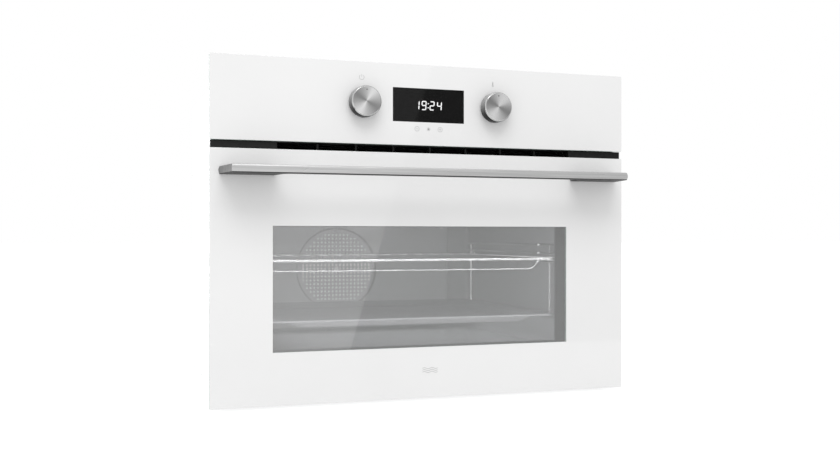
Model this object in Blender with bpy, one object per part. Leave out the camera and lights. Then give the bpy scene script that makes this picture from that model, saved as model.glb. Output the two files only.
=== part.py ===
"""Compact built-in wall oven, modelled as an assembly of separate named parts.

Metres, +Z up.  +X is the user's right, and the front faces -Y.  The origin is the centre of the
footprint, on the plane that the casing stands on.  Most places are written as (x, depth, z), where
depth is the distance behind the front face of the door glass.
"""
import math

import bmesh
import bpy
from mathutils import Matrix, Vector

# Outside, in metres
FRONT_WIDTH = 0.595
FRONT_HALF = FRONT_WIDTH / 2
FRONT_HEIGHT = 0.455
DOOR_LIFT = 0.0035
DOOR_HEIGHT = 0.3342
VENT_HEIGHT = 0.0106
HANDLE_REACH = 0.053
BODY_DEPTH = 0.548
FRONT = (HANDLE_REACH - BODY_DEPTH) / 2

# Shared thicknesses and clearances
GAP = 0.0003
SHEET = 0.0012
PANE = 0.004
CAVITY_WALL = 0.0015
CUT_LENGTH = 0.02

# Heights of the front, above the standing plane
DOOR_BOTTOM = DOOR_LIFT
DOOR_TOP = DOOR_BOTTOM + DOOR_HEIGHT
PANEL_BOTTOM = DOOR_TOP + VENT_HEIGHT
PANEL_TOP = DOOR_BOTTOM + FRONT_HEIGHT

# Casing
CASE_HALF = 0.268
CASE_FRONT = 0.0498
CASE_REAR = 0.489
CASE_HEIGHT = 0.448
FRAME_FACE = 0.0483
FRAME_HALF = 0.275
TRIM_FACE = 0.020
TRIM_INNER = 0.2735
TRIM_OUTER = 0.294
TRIM_SCREW_X = 0.285

# Cavity
CAVITY_HALF = 0.240
CAVITY_FLOOR = 0.0555
CAVITY_CEILING = 0.2785
CAVITY_REAR = 0.462
FAN_X = -0.0225
FAN_HEIGHT = 0.1665
FAN_DEPTH = 0.449
FAN_COVER_FACE = 0.436
LAMP_DEPTH = 0.370
LAMP_Z = 0.250
PROBE_X = -0.210
PROBE_Z = 0.262

# Heaters: the leads of each end just behind the cavity's back wall
ELEMENT_RADIUS = 0.00325
LEAD_END = 0.478
RING_RADIUS = 0.080
RING_START = math.radians(80)
GRILL_Z = 0.266
GRILL_LEAD_X = 0.025
BOTTOM_LEAD_X = 0.020
BOTTOM_Z = 0.0475

# Cooling air: the duct's slot over the door, and the blower behind it
DUCT_HALF = 0.214
DUCT_SLOT = (0.3383, 0.3479)
BLOWER_DEPTH = 0.292
BLOWER_Z = 0.362
BLOWER_FRONT = 0.2503
BLOWER_HALF = 0.120

# Door
PIVOT_DEPTH = 0.015
PIVOT_HEIGHT = 0.0155
DOOR_REAR = 0.042
FRAME_OUTER = 0.272
PROFILE = 0.0015
PROFILE_LOW = 0.0173
PROFILE_HIGH = 0.3302
PROFILE_INNER = 0.248

# Hinges: a tongue of the chassis channel and an arm of the door, side by side on one pin
HINGE_NOSE = 0.008
HINGE_CHANNEL = (0.250, 0.2652)
HINGE_CHANNEL_HIGH = 0.044
HINGE_CHANNEL_REAR = 0.150
HINGE_TONGUE = (0.256, 0.259)
HINGE_ARM = (0.260, 0.263)
HINGE_PIN_START = 0.2541

# Handle
HANDLE_LOW = 0.3034
HANDLE_THICK = 0.0107
HANDLE_BAR = 0.016
HANDLE_HALF = 0.286
HANDLE_MITRE = 0.0095
HANDLE_FOOT = 0.0735
HANDLE_SCREW_X = 0.235

# Controls
KNOB_X = 0.0945
KNOB_Z = 0.4035
KNOB_RADIUS = 0.0208
KNOB_FACE_RADIUS = 0.0197
KNOB_PROUD = 0.018
SHAFT_RADIUS = 0.003
SHAFT_HOLE = 0.005
DISPLAY_HALF_X = 0.0515
DISPLAY_HALF_Z = 0.023

# Racks
RUNG = 0.004
RUNG_INNER = 0.2195
RACK_HEIGHTS = (0.1051, 0.1865, 0.199, 0.2115)
SHELF_RUNG = 0.1865
TRAY_RUNG = 0.1051
SHELF_HALF = 0.223


# ---------------------------------------------------------------- helpers

def clear_scene():
    for thing in list(bpy.data.objects):
        bpy.data.objects.remove(thing, do_unlink=True)


def material(name, colour, roughness, metallic=0.0, alpha=1.0):
    made = bpy.data.materials.get(name) or bpy.data.materials.new(name)
    made.use_nodes = True
    shader = made.node_tree.nodes["Principled BSDF"]
    shader.inputs["Base Color"].default_value = (*colour, 1.0)
    shader.inputs["Roughness"].default_value = roughness
    shader.inputs["Metallic"].default_value = metallic
    shader.inputs["Alpha"].default_value = alpha
    made.diffuse_color = (*colour, alpha)
    return made


def white_glass():
    return material("white_glass", (0.86, 0.86, 0.86), 0.06)


def clear_glass():
    return material("clear_glass", (0.62, 0.66, 0.66), 0.04, alpha=0.4)


def zinc_sheet():
    return material("zinc_sheet", (0.70, 0.71, 0.72), 0.38, 1.0)


def steel():
    return material("steel", (0.55, 0.55, 0.56), 0.32, 1.0)


def chrome_wire():
    return material("chrome_wire", (0.78, 0.79, 0.80), 0.16, 1.0)


def enamel():
    return material("enamel", (0.045, 0.048, 0.055), 0.22)


def black_plastic():
    return material("black_plastic", (0.022, 0.022, 0.024), 0.5)


def knob_metal():
    return material("knob_metal", (0.60, 0.60, 0.60), 0.24, 1.0)


def handle_metal():
    return material("handle_metal", (0.58, 0.58, 0.59), 0.28, 1.0)


def silicone():
    return material("silicone", (0.17, 0.17, 0.18), 0.7)


def mineral_wool():
    return material("mineral_wool", (0.72, 0.68, 0.58), 0.95)


def circuit_board():
    return material("circuit_board", (0.03, 0.16, 0.07), 0.45)


def add_object(name, data, finish, origin=(0.0, 0.0, 0.0), parent=None):
    """Add an object whose data is already relative to the origin, a world point."""
    made = bpy.data.objects.new(name, data)
    bpy.context.scene.collection.objects.link(made)
    made.location = Vector(origin)
    if parent is not None:
        made.parent = parent
        made.location = Vector(origin) - parent.location
    if finish is not None:
        data.materials.append(finish)
    return made


def pivot_empty(name, point):
    """An empty on a joint's axis, which the moving parts are parented to."""
    made = bpy.data.objects.new(name, None)
    bpy.context.scene.collection.objects.link(made)
    made.location = point
    return made


def add_mesh(name, builder, finish, origin, parent=None, smooth_angle=None):
    """Turn a bmesh in world places into an object with its own origin."""
    bmesh.ops.recalc_face_normals(builder, faces=builder.faces)
    builder.transform(Matrix.Translation(-Vector(origin)))
    mesh = bpy.data.meshes.new(name)
    builder.to_mesh(mesh)
    builder.free()
    if smooth_angle is not None:
        mesh.shade_smooth()
        mesh.set_sharp_from_angle(angle=smooth_angle)
    return add_object(name, mesh, finish, origin, parent)


def place(x, depth, z):
    return Vector((x, FRONT + depth, z))


def inside(cell, box):
    return all(low < value < high for value, (low, high) in zip(cell, box))


def add_cell_sides(builder, corners, cell, is_solid, grid):
    """Add the sides of one solid cell that face an empty one."""
    for axis in range(3):
        for step in (-1, 1):
            neighbour = list(cell)
            neighbour[axis] += step
            if is_solid(neighbour):
                continue
            ring = []
            for first, second in ((0, 0), (1, 0), (1, 1), (0, 1)):
                key = list(cell)
                key[axis] += (step + 1) // 2
                key[(axis + 1) % 3] += first
                key[(axis + 2) % 3] += second
                key = tuple(key)
                if key not in corners:
                    corners[key] = builder.verts.new(place(*(grid[i][key[i]] for i in range(3))))
                ring.append(corners[key])
            builder.faces.new(ring)


def block(name, boxes, finish, cuts=(), parent=None):
    """One closed body of boxes joined face to face, less some cuts.

    A box is three (low, high) ranges: x, depth and z.
    """
    boxes = [[tuple(round(v, 6) for v in span) for span in box] for box in boxes]
    cuts = [[tuple(round(v, 6) for v in span) for span in box] for box in cuts]
    lowest = [min(box[axis][0] for box in boxes) for axis in range(3)]
    highest = [max(box[axis][1] for box in boxes) for axis in range(3)]
    grid = []
    for axis in range(3):
        values = {v for box in boxes + cuts for v in box[axis]}
        grid.append(sorted(v for v in values if lowest[axis] <= v <= highest[axis]))
    counts = [len(values) - 1 for values in grid]
    solid = set()
    for i in range(counts[0]):
        for j in range(counts[1]):
            for k in range(counts[2]):
                cell = [(grid[a][n] + grid[a][n + 1]) / 2 for a, n in enumerate((i, j, k))]
                kept = any(inside(cell, box) for box in boxes)
                if kept and not any(inside(cell, box) for box in cuts):
                    solid.add((i, j, k))
    builder = bmesh.new()
    corners = {}
    for cell in sorted(solid):
        add_cell_sides(builder, corners, cell, lambda near: tuple(near) in solid, grid)
    middle = [(low + high) / 2 for low, high in zip(lowest, highest)]
    return add_mesh(name, builder, finish, place(*middle), parent)


def prism(name, outline, along, low, high, finish, parent=None, smooth_angle=None):
    """Extrude an outline along x, depth or z; its points are the other two, in that order."""
    builder = bmesh.new()
    points = []
    for first, second in outline:
        spots = {"x": (low, first, second), "depth": (first, low, second), "z": (first, second, low)}
        points.append(builder.verts.new(place(*spots[along])))
    face = builder.faces.new(points)
    shift = {"x": (high - low, 0, 0), "depth": (0, high - low, 0), "z": (0, 0, high - low)}
    grown = bmesh.ops.extrude_face_region(builder, geom=[face])
    moved = [item for item in grown["geom"] if isinstance(item, bmesh.types.BMVert)]
    bmesh.ops.translate(builder, vec=shift[along], verts=moved)
    centre = sum((v.co for v in builder.verts), Vector()) / len(builder.verts)
    return add_mesh(name, builder, finish, centre, parent, smooth_angle)


def turned(name, profile, start, direction, finish, steps=32, parent=None):
    """Spin a (radius, height) profile that starts and ends on the axis, from a start point."""
    builder = bmesh.new()
    points = [builder.verts.new((radius, 0, height)) for radius, height in profile]
    edges = [builder.edges.new(pair) for pair in zip(points, points[1:])]
    bmesh.ops.spin(builder, geom=points + edges, cent=(0, 0, 0), axis=(0, 0, 1),
                   angle=math.tau, steps=steps, use_merge=True)
    bmesh.ops.remove_doubles(builder, verts=builder.verts, dist=0.00001)
    turn = Vector((0, 0, 1)).rotation_difference(Vector(direction)).to_matrix().to_4x4()
    builder.transform(Matrix.Translation(start) @ turn)
    return add_mesh(name, builder, finish, start, parent, math.radians(35))


def rod_profile(radius, length):
    return [(0, 0), (radius, 0), (radius, length), (0, length)]


def tube(name, points, radius, finish, sides_level=1):
    """A bent round rod through the given places."""
    curve = bpy.data.curves.new(name, "CURVE")
    curve.dimensions = "3D"
    curve.bevel_depth = radius
    curve.bevel_resolution = sides_level
    curve.use_fill_caps = True
    spline = curve.splines.new("POLY")
    spline.points.add(len(points) - 1)
    origin = points[0]
    for spot, point in zip(spline.points, points):
        spot.co = (*(point - origin), 1.0)
        spot.radius = 1.0
    return add_object(name, curve, finish, origin)


def hide_tool(tool):
    tool.hide_render = True
    tool.display_type = "WIRE"


def combine(target, tool, operation):
    change = target.modifiers.new(tool.name, "BOOLEAN")
    change.operation = operation
    change.solver = "EXACT"
    change.object = tool
    hide_tool(tool)


def round_hole(target, number, centre, direction, radius, length=CUT_LENGTH, steps=16):
    """Cut a round hole whose middle is at centre."""
    start = Vector(centre) - Vector(direction) * (length / 2)
    name = f"cutter_{target.name}_{number}"
    tool = turned(name, rod_profile(radius, length), start, direction, None, steps)
    combine(target, tool, "DIFFERENCE")


def mirrored(box, side):
    """The same box on the left (side -1) or right (side 1)."""
    (low, high), depth, height = box
    return (tuple(sorted((low * side, high * side))), depth, height)


def both_sides():
    return (("left", -1), ("right", 1))


# ---------------------------------------------------------------- casing

def make_base_plate():
    half = CASE_HALF - SHEET - GAP
    rear = CASE_REAR - SHEET - GAP
    lip = 0.013
    boxes = [((-half, half), (CASE_FRONT, rear), (0, SHEET)),
             ((-half, -half + SHEET), (CASE_FRONT, rear), (0, lip)),
             ((half - SHEET, half), (CASE_FRONT, rear), (0, lip)),
             ((-half, half), (rear - SHEET, rear), (0, lip))]
    return block("base_plate", boxes, zinc_sheet())


def make_side_panels():
    top = CASE_HEIGHT - SHEET - GAP
    for side_name, side in both_sides():
        panel = ((CASE_HALF - SHEET, CASE_HALF), (CASE_FRONT, CASE_REAR), (0, top))
        block("side_panel_" + side_name, [mirrored(panel, side)], zinc_sheet())


def make_rear_panel():
    half = CASE_HALF - SHEET - GAP
    top = CASE_HEIGHT - SHEET - GAP
    depth = (CASE_REAR - SHEET, CASE_REAR)
    wire_hole = ((0.180, 0.210), depth, (0.375, 0.395))
    shaft_hole = 0.008
    panel = block("rear_panel", [((-half, half), depth, (0, top))], zinc_sheet(), [wire_hole])
    round_hole(panel, 1, place(FAN_X, CASE_REAR, FAN_HEIGHT), (0, 1, 0), shaft_hole)


def make_top_cover():
    """The lid of the casing, which runs forward over the controls to the panel carrier."""
    near = TRIM_FACE + GAP
    height = (CASE_HEIGHT - SHEET, CASE_HEIGHT)
    block("top_cover", [((-CASE_HALF, CASE_HALF), (near, CASE_REAR), height)], zinc_sheet())


def make_rear_cover():
    """The louvred pan over the fan motor: the deepest part of the oven."""
    half = 0.150
    low, high = 0.080, 0.260
    near = CASE_REAR + GAP
    louvre_half = 0.060
    louvre_height = 0.005
    louvre_pitch = 0.016
    cuts = [((-half + SHEET, half - SHEET), (0, BODY_DEPTH - SHEET), (low + SHEET, high - SHEET))]
    for index in range(-4, 5):
        centre = (low + high) / 2 + index * louvre_pitch
        cuts.append(((-louvre_half, louvre_half), (BODY_DEPTH - SHEET, BODY_DEPTH),
                     (centre - louvre_height / 2, centre + louvre_height / 2)))
    block("rear_cover", [((-half, half), (near, BODY_DEPTH), (low, high))], zinc_sheet(), cuts)


def make_front_frame():
    """The chassis front plate around the cavity mouth."""
    low = 0.0065
    top = CASE_HEIGHT - SHEET - GAP
    depth = (FRAME_FACE, FRAME_FACE + SHEET)
    mouth = ((-CAVITY_HALF, CAVITY_HALF), depth, (CAVITY_FLOOR, CAVITY_CEILING))
    duct_half = DUCT_HALF + 0.0005
    duct_slot = ((-duct_half, duct_half), depth, (DUCT_SLOT[0] - GAP, DUCT_SLOT[1] + GAP))
    wiring = ((-0.200, 0.200), depth, (0.365, 0.435))
    tongue_slot = ((HINGE_TONGUE[0] - 0.0015, HINGE_TONGUE[1] + 0.0015), depth, (0.005, 0.026))
    cuts = [mouth, duct_slot, wiring]
    cuts += [mirrored(tongue_slot, side) for _, side in both_sides()]
    block("front_frame", [((-FRAME_HALF, FRAME_HALF), depth, (low, top))], zinc_sheet(), cuts)


def make_side_trims():
    """The folded strips that cover the cabinet's front edges and carry the fixing screws."""
    flange_rear = TRIM_FACE + 0.002
    foot_inner = 0.2625
    foot_rear = FRAME_FACE - GAP
    height = (0.008, 0.446)
    web = TRIM_INNER + PROFILE
    screw_radius = 0.0025
    screw_heights = (0.060, 0.395)
    for side_name, side in both_sides():
        boxes = [((TRIM_INNER, TRIM_OUTER), (TRIM_FACE, flange_rear), height),
                 ((TRIM_INNER, web), (flange_rear, foot_rear), height),
                 ((foot_inner, web), (foot_rear - SHEET, foot_rear), height)]
        trim = block("side_trim_" + side_name, [mirrored(box, side) for box in boxes], zinc_sheet())
        for number, screw_z in enumerate(screw_heights):
            centre = place(side * TRIM_SCREW_X, (TRIM_FACE + flange_rear) / 2, screw_z)
            round_hole(trim, number, centre, (0, 1, 0), screw_radius, steps=12)


def make_vent_trim():
    """The recessed black strip between door and panel, where the cooling air leaves."""
    half = FRONT_HALF - 0.0005
    depth = (0.006, TRIM_FACE - GAP)
    height = (DOOR_TOP + GAP, PANEL_BOTTOM - GAP)
    slots = 8
    slot_half = 0.0245
    pitch = 0.053
    rail = 0.0016
    cuts = []
    for index in range(slots):
        centre = (index - (slots - 1) / 2) * pitch
        cuts.append(((centre - slot_half, centre + slot_half), depth,
                     (height[0] + rail, height[1] - rail)))
    block("vent_trim", [((-half, half), depth, height)], black_plastic(), cuts)


# ---------------------------------------------------------------- control panel

def make_control_glass():
    height = (PANEL_BOTTOM, PANEL_TOP)
    glass = block("control_panel_glass", [((-FRONT_HALF, FRONT_HALF), (0, PANE), height)],
                  white_glass())
    for number, (_, side) in enumerate(both_sides()):
        centre = place(side * KNOB_X, PANE / 2, KNOB_Z)
        round_hole(glass, number, centre, (0, 1, 0), SHAFT_HOLE)


def make_panel_carrier():
    """The plastic frame behind the panel glass: a plate with a rim and a well for the display."""
    half = 0.2925
    wall = 0.003
    front = PANE + GAP
    plate = (front, front + wall)
    deep = (front, TRIM_FACE - GAP)
    low, high = PANEL_BOTTOM + 0.0015, PANEL_TOP - 0.0015
    well_x = DISPLAY_HALF_X + 0.0008
    well_z = DISPLAY_HALF_Z + 0.0008
    boxes = [((-half, half), plate, (low, high)),
             ((-half, -half + wall), deep, (low, high)),
             ((half - wall, half), deep, (low, high)),
             ((-half, half), deep, (low, low + wall)),
             ((-half, half), deep, (high - wall, high)),
             ((-well_x - wall, well_x + wall), deep,
              (KNOB_Z - well_z - wall, KNOB_Z + well_z + wall))]
    well = ((-well_x, well_x), (0, TRIM_FACE), (KNOB_Z - well_z, KNOB_Z + well_z))
    carrier = block("panel_carrier", boxes, black_plastic(), [well])
    for number, (_, side) in enumerate(both_sides()):
        centre = place(side * KNOB_X, front, KNOB_Z)
        round_hole(carrier, number, centre, (0, 1, 0), SHAFT_HOLE)


def make_display_module():
    """The display behind the glass: its dark lens, light box and board in one potted unit."""
    lens = ((-DISPLAY_HALF_X, DISPLAY_HALF_X), (PANE + GAP, TRIM_FACE),
            (KNOB_Z - DISPLAY_HALF_Z, KNOB_Z + DISPLAY_HALF_Z))
    board_x, board_z = 0.066, 0.032
    board = ((-board_x, board_x), (TRIM_FACE, TRIM_FACE + 0.0016),
             (KNOB_Z - board_z, KNOB_Z + board_z))
    block("display_module", [lens, board], circuit_board())


def make_knob(name, centre_x, pivot):
    bore_depth = 0.012
    stand_off = 0.0005
    chamfer = 0.0018
    land = 0.0006
    dish_radius = 0.004
    dish = 0.0005
    profile = [(0, bore_depth),
               (SHAFT_RADIUS + GAP, bore_depth),
               (SHAFT_RADIUS + GAP, stand_off),
               (KNOB_RADIUS, stand_off),
               (KNOB_RADIUS - 0.0002, KNOB_PROUD - chamfer),
               (KNOB_FACE_RADIUS, KNOB_PROUD - land),
               (KNOB_FACE_RADIUS - 0.0014, KNOB_PROUD),
               (dish_radius, KNOB_PROUD - dish),
               (0, KNOB_PROUD - dish)]
    turned(name, profile, place(centre_x, 0, KNOB_Z), (0, -1, 0), knob_metal(), 40, pivot)


def make_knob_shaft(name, centre_x, pivot):
    rear = 0.014
    length = 0.025
    turned(name, rod_profile(SHAFT_RADIUS, length), place(centre_x, rear, KNOB_Z),
           (0, -1, 0), steel(), 16, pivot)


def make_selector(name, centre_x):
    """The rotary switch behind the panel, with a blind bore for the knob's shaft."""
    front = PANE + 2 * GAP + 0.003
    radius = 0.014
    length = 0.022
    bore_depth = 0.0085
    profile = [(0, bore_depth),
               (SHAFT_RADIUS + GAP, bore_depth),
               (SHAFT_RADIUS + GAP, 0),
               (radius, 0),
               (radius, length),
               (0, length)]
    turned(name, profile, place(centre_x, front, KNOB_Z), (0, 1, 0), black_plastic(), 20)


def make_controls():
    for name, side in (("function", -1), ("temperature", 1)):
        centre_x = side * KNOB_X
        pivot = pivot_empty(name + "_axis", place(centre_x, 0, KNOB_Z))
        make_knob(name + "_knob", centre_x, pivot)
        make_knob_shaft(name + "_knob_shaft", centre_x, pivot)
        make_selector(name + "_selector", centre_x)


# ---------------------------------------------------------------- electrics and cooling

def make_power_board():
    """The board over the insulation, with a row of four relays and a transformer."""
    board_low, board_top = 0.352, 0.3536
    relay_x, relay_near, relay_length, relay_top = (-0.205, -0.185), 0.120, 0.018, 0.372
    relay_pitch = 0.025
    boxes = [((-0.215, -0.150), (0.110, 0.240), (board_low, board_top)),
             ((-0.175, -0.155), (0.150, 0.190), (board_top, 0.380))]
    for index in range(4):
        near = relay_near + index * relay_pitch
        boxes.append((relay_x, (near, near + relay_length), (board_top, relay_top)))
    block("power_board", boxes, circuit_board())


def make_terminal_box():
    """The mains terminal box on the back, with the opening for the supply cable."""
    near = CASE_REAR + GAP
    wall = 0.002
    left, right = 0.165, 0.225
    low, high = 0.355, 0.405
    rear = near + 0.028
    shell = ((left, right), (near, rear), (low, high))
    hollow = ((left + wall, right - wall), (0, rear - wall), (low + wall, high - wall))
    middle = (left + right) / 2
    gland_half, inlet_half = 0.009, 0.005
    gland_depth, inlet_depth = (near + 0.004, near + 0.022), (near + 0.008, near + 0.018)
    gland_low = low - 0.010
    gland = ((middle - gland_half, middle + gland_half), gland_depth, (gland_low, low))
    inlet = ((middle - inlet_half, middle + inlet_half), inlet_depth, (0, low + 0.005))
    block("terminal_box", [shell, gland], black_plastic(), [hollow, inlet])


def make_air_duct():
    """The flat duct from the blower to the slots over the door."""
    slot_low, slot_high = DUCT_SLOT
    chamber_near = 0.052
    chamber_rear = BLOWER_FRONT - GAP
    chamber_low = 0.322
    nozzle = ((-DUCT_HALF, DUCT_HALF), (TRIM_FACE, chamber_near), DUCT_SLOT)
    chamber = ((-DUCT_HALF, DUCT_HALF), (chamber_near, chamber_rear), (chamber_low, slot_high))
    air = (-DUCT_HALF + SHEET, DUCT_HALF - SHEET)
    step = chamber_near + SHEET
    cuts = [(air, (0, step), (slot_low + SHEET, slot_high - SHEET)),
            (air, (step, CASE_REAR), (chamber_low + SHEET, slot_high - SHEET))]
    block("air_duct", [nozzle, chamber], zinc_sheet(), cuts)


def make_blower_housing():
    """The scroll housing of the tangential blower, open to the duct and above the drum."""
    half = BLOWER_HALF
    wall = 0.0015
    rear = 0.333
    low, high = 0.3205, 0.403
    shell = ((-half, half), (BLOWER_FRONT, rear), (low, high))
    hollow = ((-half + wall, half - wall), (BLOWER_FRONT + wall, rear - wall),
              (low + wall, high - wall))
    outlet = ((-half + 0.010, half - 0.010), (0, BLOWER_FRONT + wall), (0.324, 0.346))
    intake = ((-half + 0.020, half - 0.020), (0.270, 0.314), (high - wall, high))
    housing = block("blower_housing", [shell], zinc_sheet(), [hollow, outlet, intake])
    bore_centre = place(half, BLOWER_DEPTH, BLOWER_Z)
    round_hole(housing, 1, bore_centre, (1, 0, 0), SHAFT_RADIUS + 2 * GAP)


def make_blower_impeller():
    """The long drum of straight vanes, with its shaft."""
    half = 0.105
    shaft_length = 0.055
    shaft_grip = 0.010
    outline = vane_outline(20, 0.010, 0.028, 0.0016)
    outline = [(BLOWER_DEPTH + a, BLOWER_Z + b) for a, b in outline]
    drum = prism("blower_impeller", outline, "x", -half, half, zinc_sheet())
    shaft = turned("blower_shaft_tool", rod_profile(SHAFT_RADIUS, shaft_length),
                   place(half - shaft_grip, BLOWER_DEPTH, BLOWER_Z), (1, 0, 0), None, 12)
    combine(drum, shaft, "UNION")


def make_blower_motor():
    bore = SHAFT_RADIUS + 2 * GAP
    bore_depth = 0.035
    radius = 0.026
    length = 0.040
    profile = [(0, bore_depth), (bore, bore_depth), (bore, 0), (radius, 0), (radius, length),
               (0, length)]
    turned("blower_motor", profile, place(BLOWER_HALF + GAP, BLOWER_DEPTH, BLOWER_Z), (1, 0, 0),
           steel(), 20)


def vane_outline(vanes, root, tip, thickness):
    """The outline of a wheel with straight radial vanes, as points round its centre."""
    points = []
    for index in range(vanes):
        middle = math.tau * index / vanes
        for radius, sign in ((root, -1), (tip, -1), (tip, 1), (root, 1)):
            angle = middle + sign * math.asin(thickness / 2 / radius)
            points.append((radius * math.cos(angle), radius * math.sin(angle)))
    return points


# ---------------------------------------------------------------- cavity and heating

def make_cavity():
    wall = CAVITY_WALL
    outer = ((-CAVITY_HALF - wall, CAVITY_HALF + wall), (CASE_FRONT, CAVITY_REAR + wall),
             (CAVITY_FLOOR - wall, CAVITY_CEILING + wall))
    inner = ((-CAVITY_HALF, CAVITY_HALF), (0, CAVITY_REAR), (CAVITY_FLOOR, CAVITY_CEILING))
    cavity = block("cavity", [outer], enamel(), [inner])
    fan_hole, lead_hole, probe_hole, lamp_hole = 0.007, 0.0045, 0.003, 0.022
    ring_x = RING_RADIUS * math.cos(RING_START)
    ring_z = FAN_HEIGHT + RING_RADIUS * math.sin(RING_START)
    holes = [(FAN_X, FAN_HEIGHT, fan_hole),
             (FAN_X + ring_x, ring_z, lead_hole),
             (FAN_X - ring_x, ring_z, lead_hole),
             (GRILL_LEAD_X, GRILL_Z, lead_hole),
             (-GRILL_LEAD_X, GRILL_Z, lead_hole),
             (PROBE_X, PROBE_Z, probe_hole)]
    for number, (x, z, radius) in enumerate(holes):
        round_hole(cavity, number, place(x, CAVITY_REAR, z), (0, 1, 0), radius, steps=12)
    lamp = place(-CAVITY_HALF, LAMP_DEPTH, LAMP_Z)
    round_hole(cavity, len(holes), lamp, (1, 0, 0), lamp_hole, steps=24)


def make_door_gasket():
    inner_x, outer_x = 0.243, 0.251
    inner_z, outer_z = (0.0525, 0.2815), (0.0445, 0.2895)
    depth = (DOOR_REAR + 0.0006, FRAME_FACE - GAP)
    block("door_gasket", [((-outer_x, outer_x), depth, outer_z)], silicone(),
          [((-inner_x, inner_x), depth, inner_z)])


def make_insulation():
    """The mineral wool wrapped round the cavity, open at the front."""
    outer = ((-0.264, 0.264), (0.050, 0.486), (0.016, 0.310))
    clearance = 0.002
    half = CAVITY_HALF + clearance
    inner_rear = CAVITY_REAR + clearance
    floor = BOTTOM_Z - 0.0075
    inner = ((-half, half), (0, inner_rear), (floor, CAVITY_CEILING + clearance))
    rear = (inner_rear, CASE_REAR)
    lamp_room = 0.028
    motor_room = 0.036
    probe_room = 0.008
    lead_room = 0.010
    cuts = [inner,
            ((FAN_X - motor_room, motor_room), rear,
             (FAN_HEIGHT - motor_room, GRILL_Z + probe_room)),
            ((-BOTTOM_LEAD_X - lead_room, BOTTOM_LEAD_X + lead_room), rear, (0.042, 0.054)),
            ((PROBE_X - probe_room, PROBE_X + probe_room), rear,
             (PROBE_Z - probe_room, PROBE_Z + probe_room)),
            ((-CASE_HALF, -half), (LAMP_DEPTH - lamp_room, LAMP_DEPTH + lamp_room),
             (LAMP_Z - lamp_room, LAMP_Z + lamp_room))]
    hinge_room = ((HINGE_CHANNEL[0] - 0.002, CASE_HALF), (0, HINGE_CHANNEL_REAR + 0.010),
                  (0, HINGE_CHANNEL_HIGH + 0.006))
    cuts += [mirrored(hinge_room, side) for _, side in both_sides()]
    block("insulation", [outer], mineral_wool(), cuts)


def make_fan_cover():
    """The pressed cover in front of the convection fan, with its round intake grille."""
    half = 0.190
    low, high = 0.060, 0.255
    face = (FAN_COVER_FACE, FAN_COVER_FACE + SHEET)
    rear = CAVITY_REAR - GAP
    foot = 0.010
    intake_radius = 0.071
    slot_half = 0.0045
    slot_pitch = 0.0148
    boxes = [((-half, half), face, (low, high)),
             ((-half, half), (face[0], rear), (low, low + SHEET)),
             ((-half, half), (face[0], rear), (high - SHEET, high))]
    for _, side in both_sides():
        boxes.append(mirrored(((half - SHEET, half), (face[0], rear),
                               (FAN_HEIGHT - foot, FAN_HEIGHT + foot)), side))
    cuts = []
    for index in range(-4, 5):
        centre = index * slot_pitch
        reach = math.sqrt(intake_radius ** 2 - (abs(centre) + slot_half) ** 2)
        cuts.append(((FAN_X + centre - slot_half, FAN_X + centre + slot_half), face,
                     (FAN_HEIGHT - reach, FAN_HEIGHT + reach)))
    block("fan_cover", boxes, enamel(), cuts)


def make_convection_fan():
    """The fan wheel and its shaft, both on the fan's axis."""
    axis = place(FAN_X, FAN_DEPTH, FAN_HEIGHT)
    pivot = pivot_empty("fan_axis", axis)
    half_width = 0.008
    shaft_radius = 0.004
    shaft_start, shaft_length = FAN_DEPTH - 0.010, 0.068
    outline = [(FAN_X + x, FAN_HEIGHT + z) for x, z in vane_outline(10, 0.016, 0.062, 0.003)]
    wheel = prism("convection_fan", outline, "depth", FAN_DEPTH - half_width,
                  FAN_DEPTH + half_width, steel(), pivot)
    round_hole(wheel, 1, axis, (0, 1, 0), shaft_radius + GAP, 4 * half_width)
    turned("fan_shaft", rod_profile(shaft_radius, shaft_length),
           place(FAN_X, shaft_start, FAN_HEIGHT), (0, 1, 0), steel(), 16, pivot)


def make_fan_motor():
    bore = 0.0046
    bore_depth = 0.021
    radius = 0.032
    length = 0.038
    profile = [(0, bore_depth), (bore, bore_depth), (bore, 0), (radius, 0), (radius, length),
               (0, length)]
    turned("fan_motor", profile, place(FAN_X, CASE_REAR + GAP, FAN_HEIGHT), (0, 1, 0), steel(), 24)


def make_ring_element():
    """The round heater behind the fan cover, with its two ends through the back wall."""
    steps = 28
    sweep = math.tau - 2 * (math.pi / 2 - RING_START)
    points = []
    for index in range(steps + 1):
        angle = RING_START - sweep * index / steps
        x = FAN_X + RING_RADIUS * math.cos(angle)
        z = FAN_HEIGHT + RING_RADIUS * math.sin(angle)
        points.append(place(x, FAN_DEPTH, z))
    first = place(points[0].x, LEAD_END, points[0].z)
    last = place(points[-1].x, LEAD_END, points[-1].z)
    tube("ring_element", [first] + points + [last], ELEMENT_RADIUS, steel())


def make_grill_element():
    """The folded heater under the cavity's ceiling."""
    near, inner_rear, rear = 0.100, 0.330, 0.385
    inner_x, middle_x, outer_x = 0.060, 0.125, 0.190
    half = [(GRILL_LEAD_X, LEAD_END), (GRILL_LEAD_X, rear), (outer_x, rear), (outer_x, near),
            (middle_x, near), (middle_x, inner_rear), (inner_x, inner_rear), (inner_x, near)]
    route = half + [(-x, depth) for x, depth in reversed(half)]
    tube("grill_element", [place(x, depth, GRILL_Z) for x, depth in route], ELEMENT_RADIUS, steel())


def make_bottom_element():
    """The hidden heater between the cavity's floor and the insulation."""
    near, rear = 0.110, 0.400
    far_x = 0.170
    half = [(BOTTOM_LEAD_X, LEAD_END), (BOTTOM_LEAD_X, rear), (far_x, rear), (far_x, near)]
    route = half + [(-x, depth) for x, depth in reversed(half)]
    tube("bottom_element", [place(x, depth, BOTTOM_Z) for x, depth in route], ELEMENT_RADIUS,
         steel())


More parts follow.
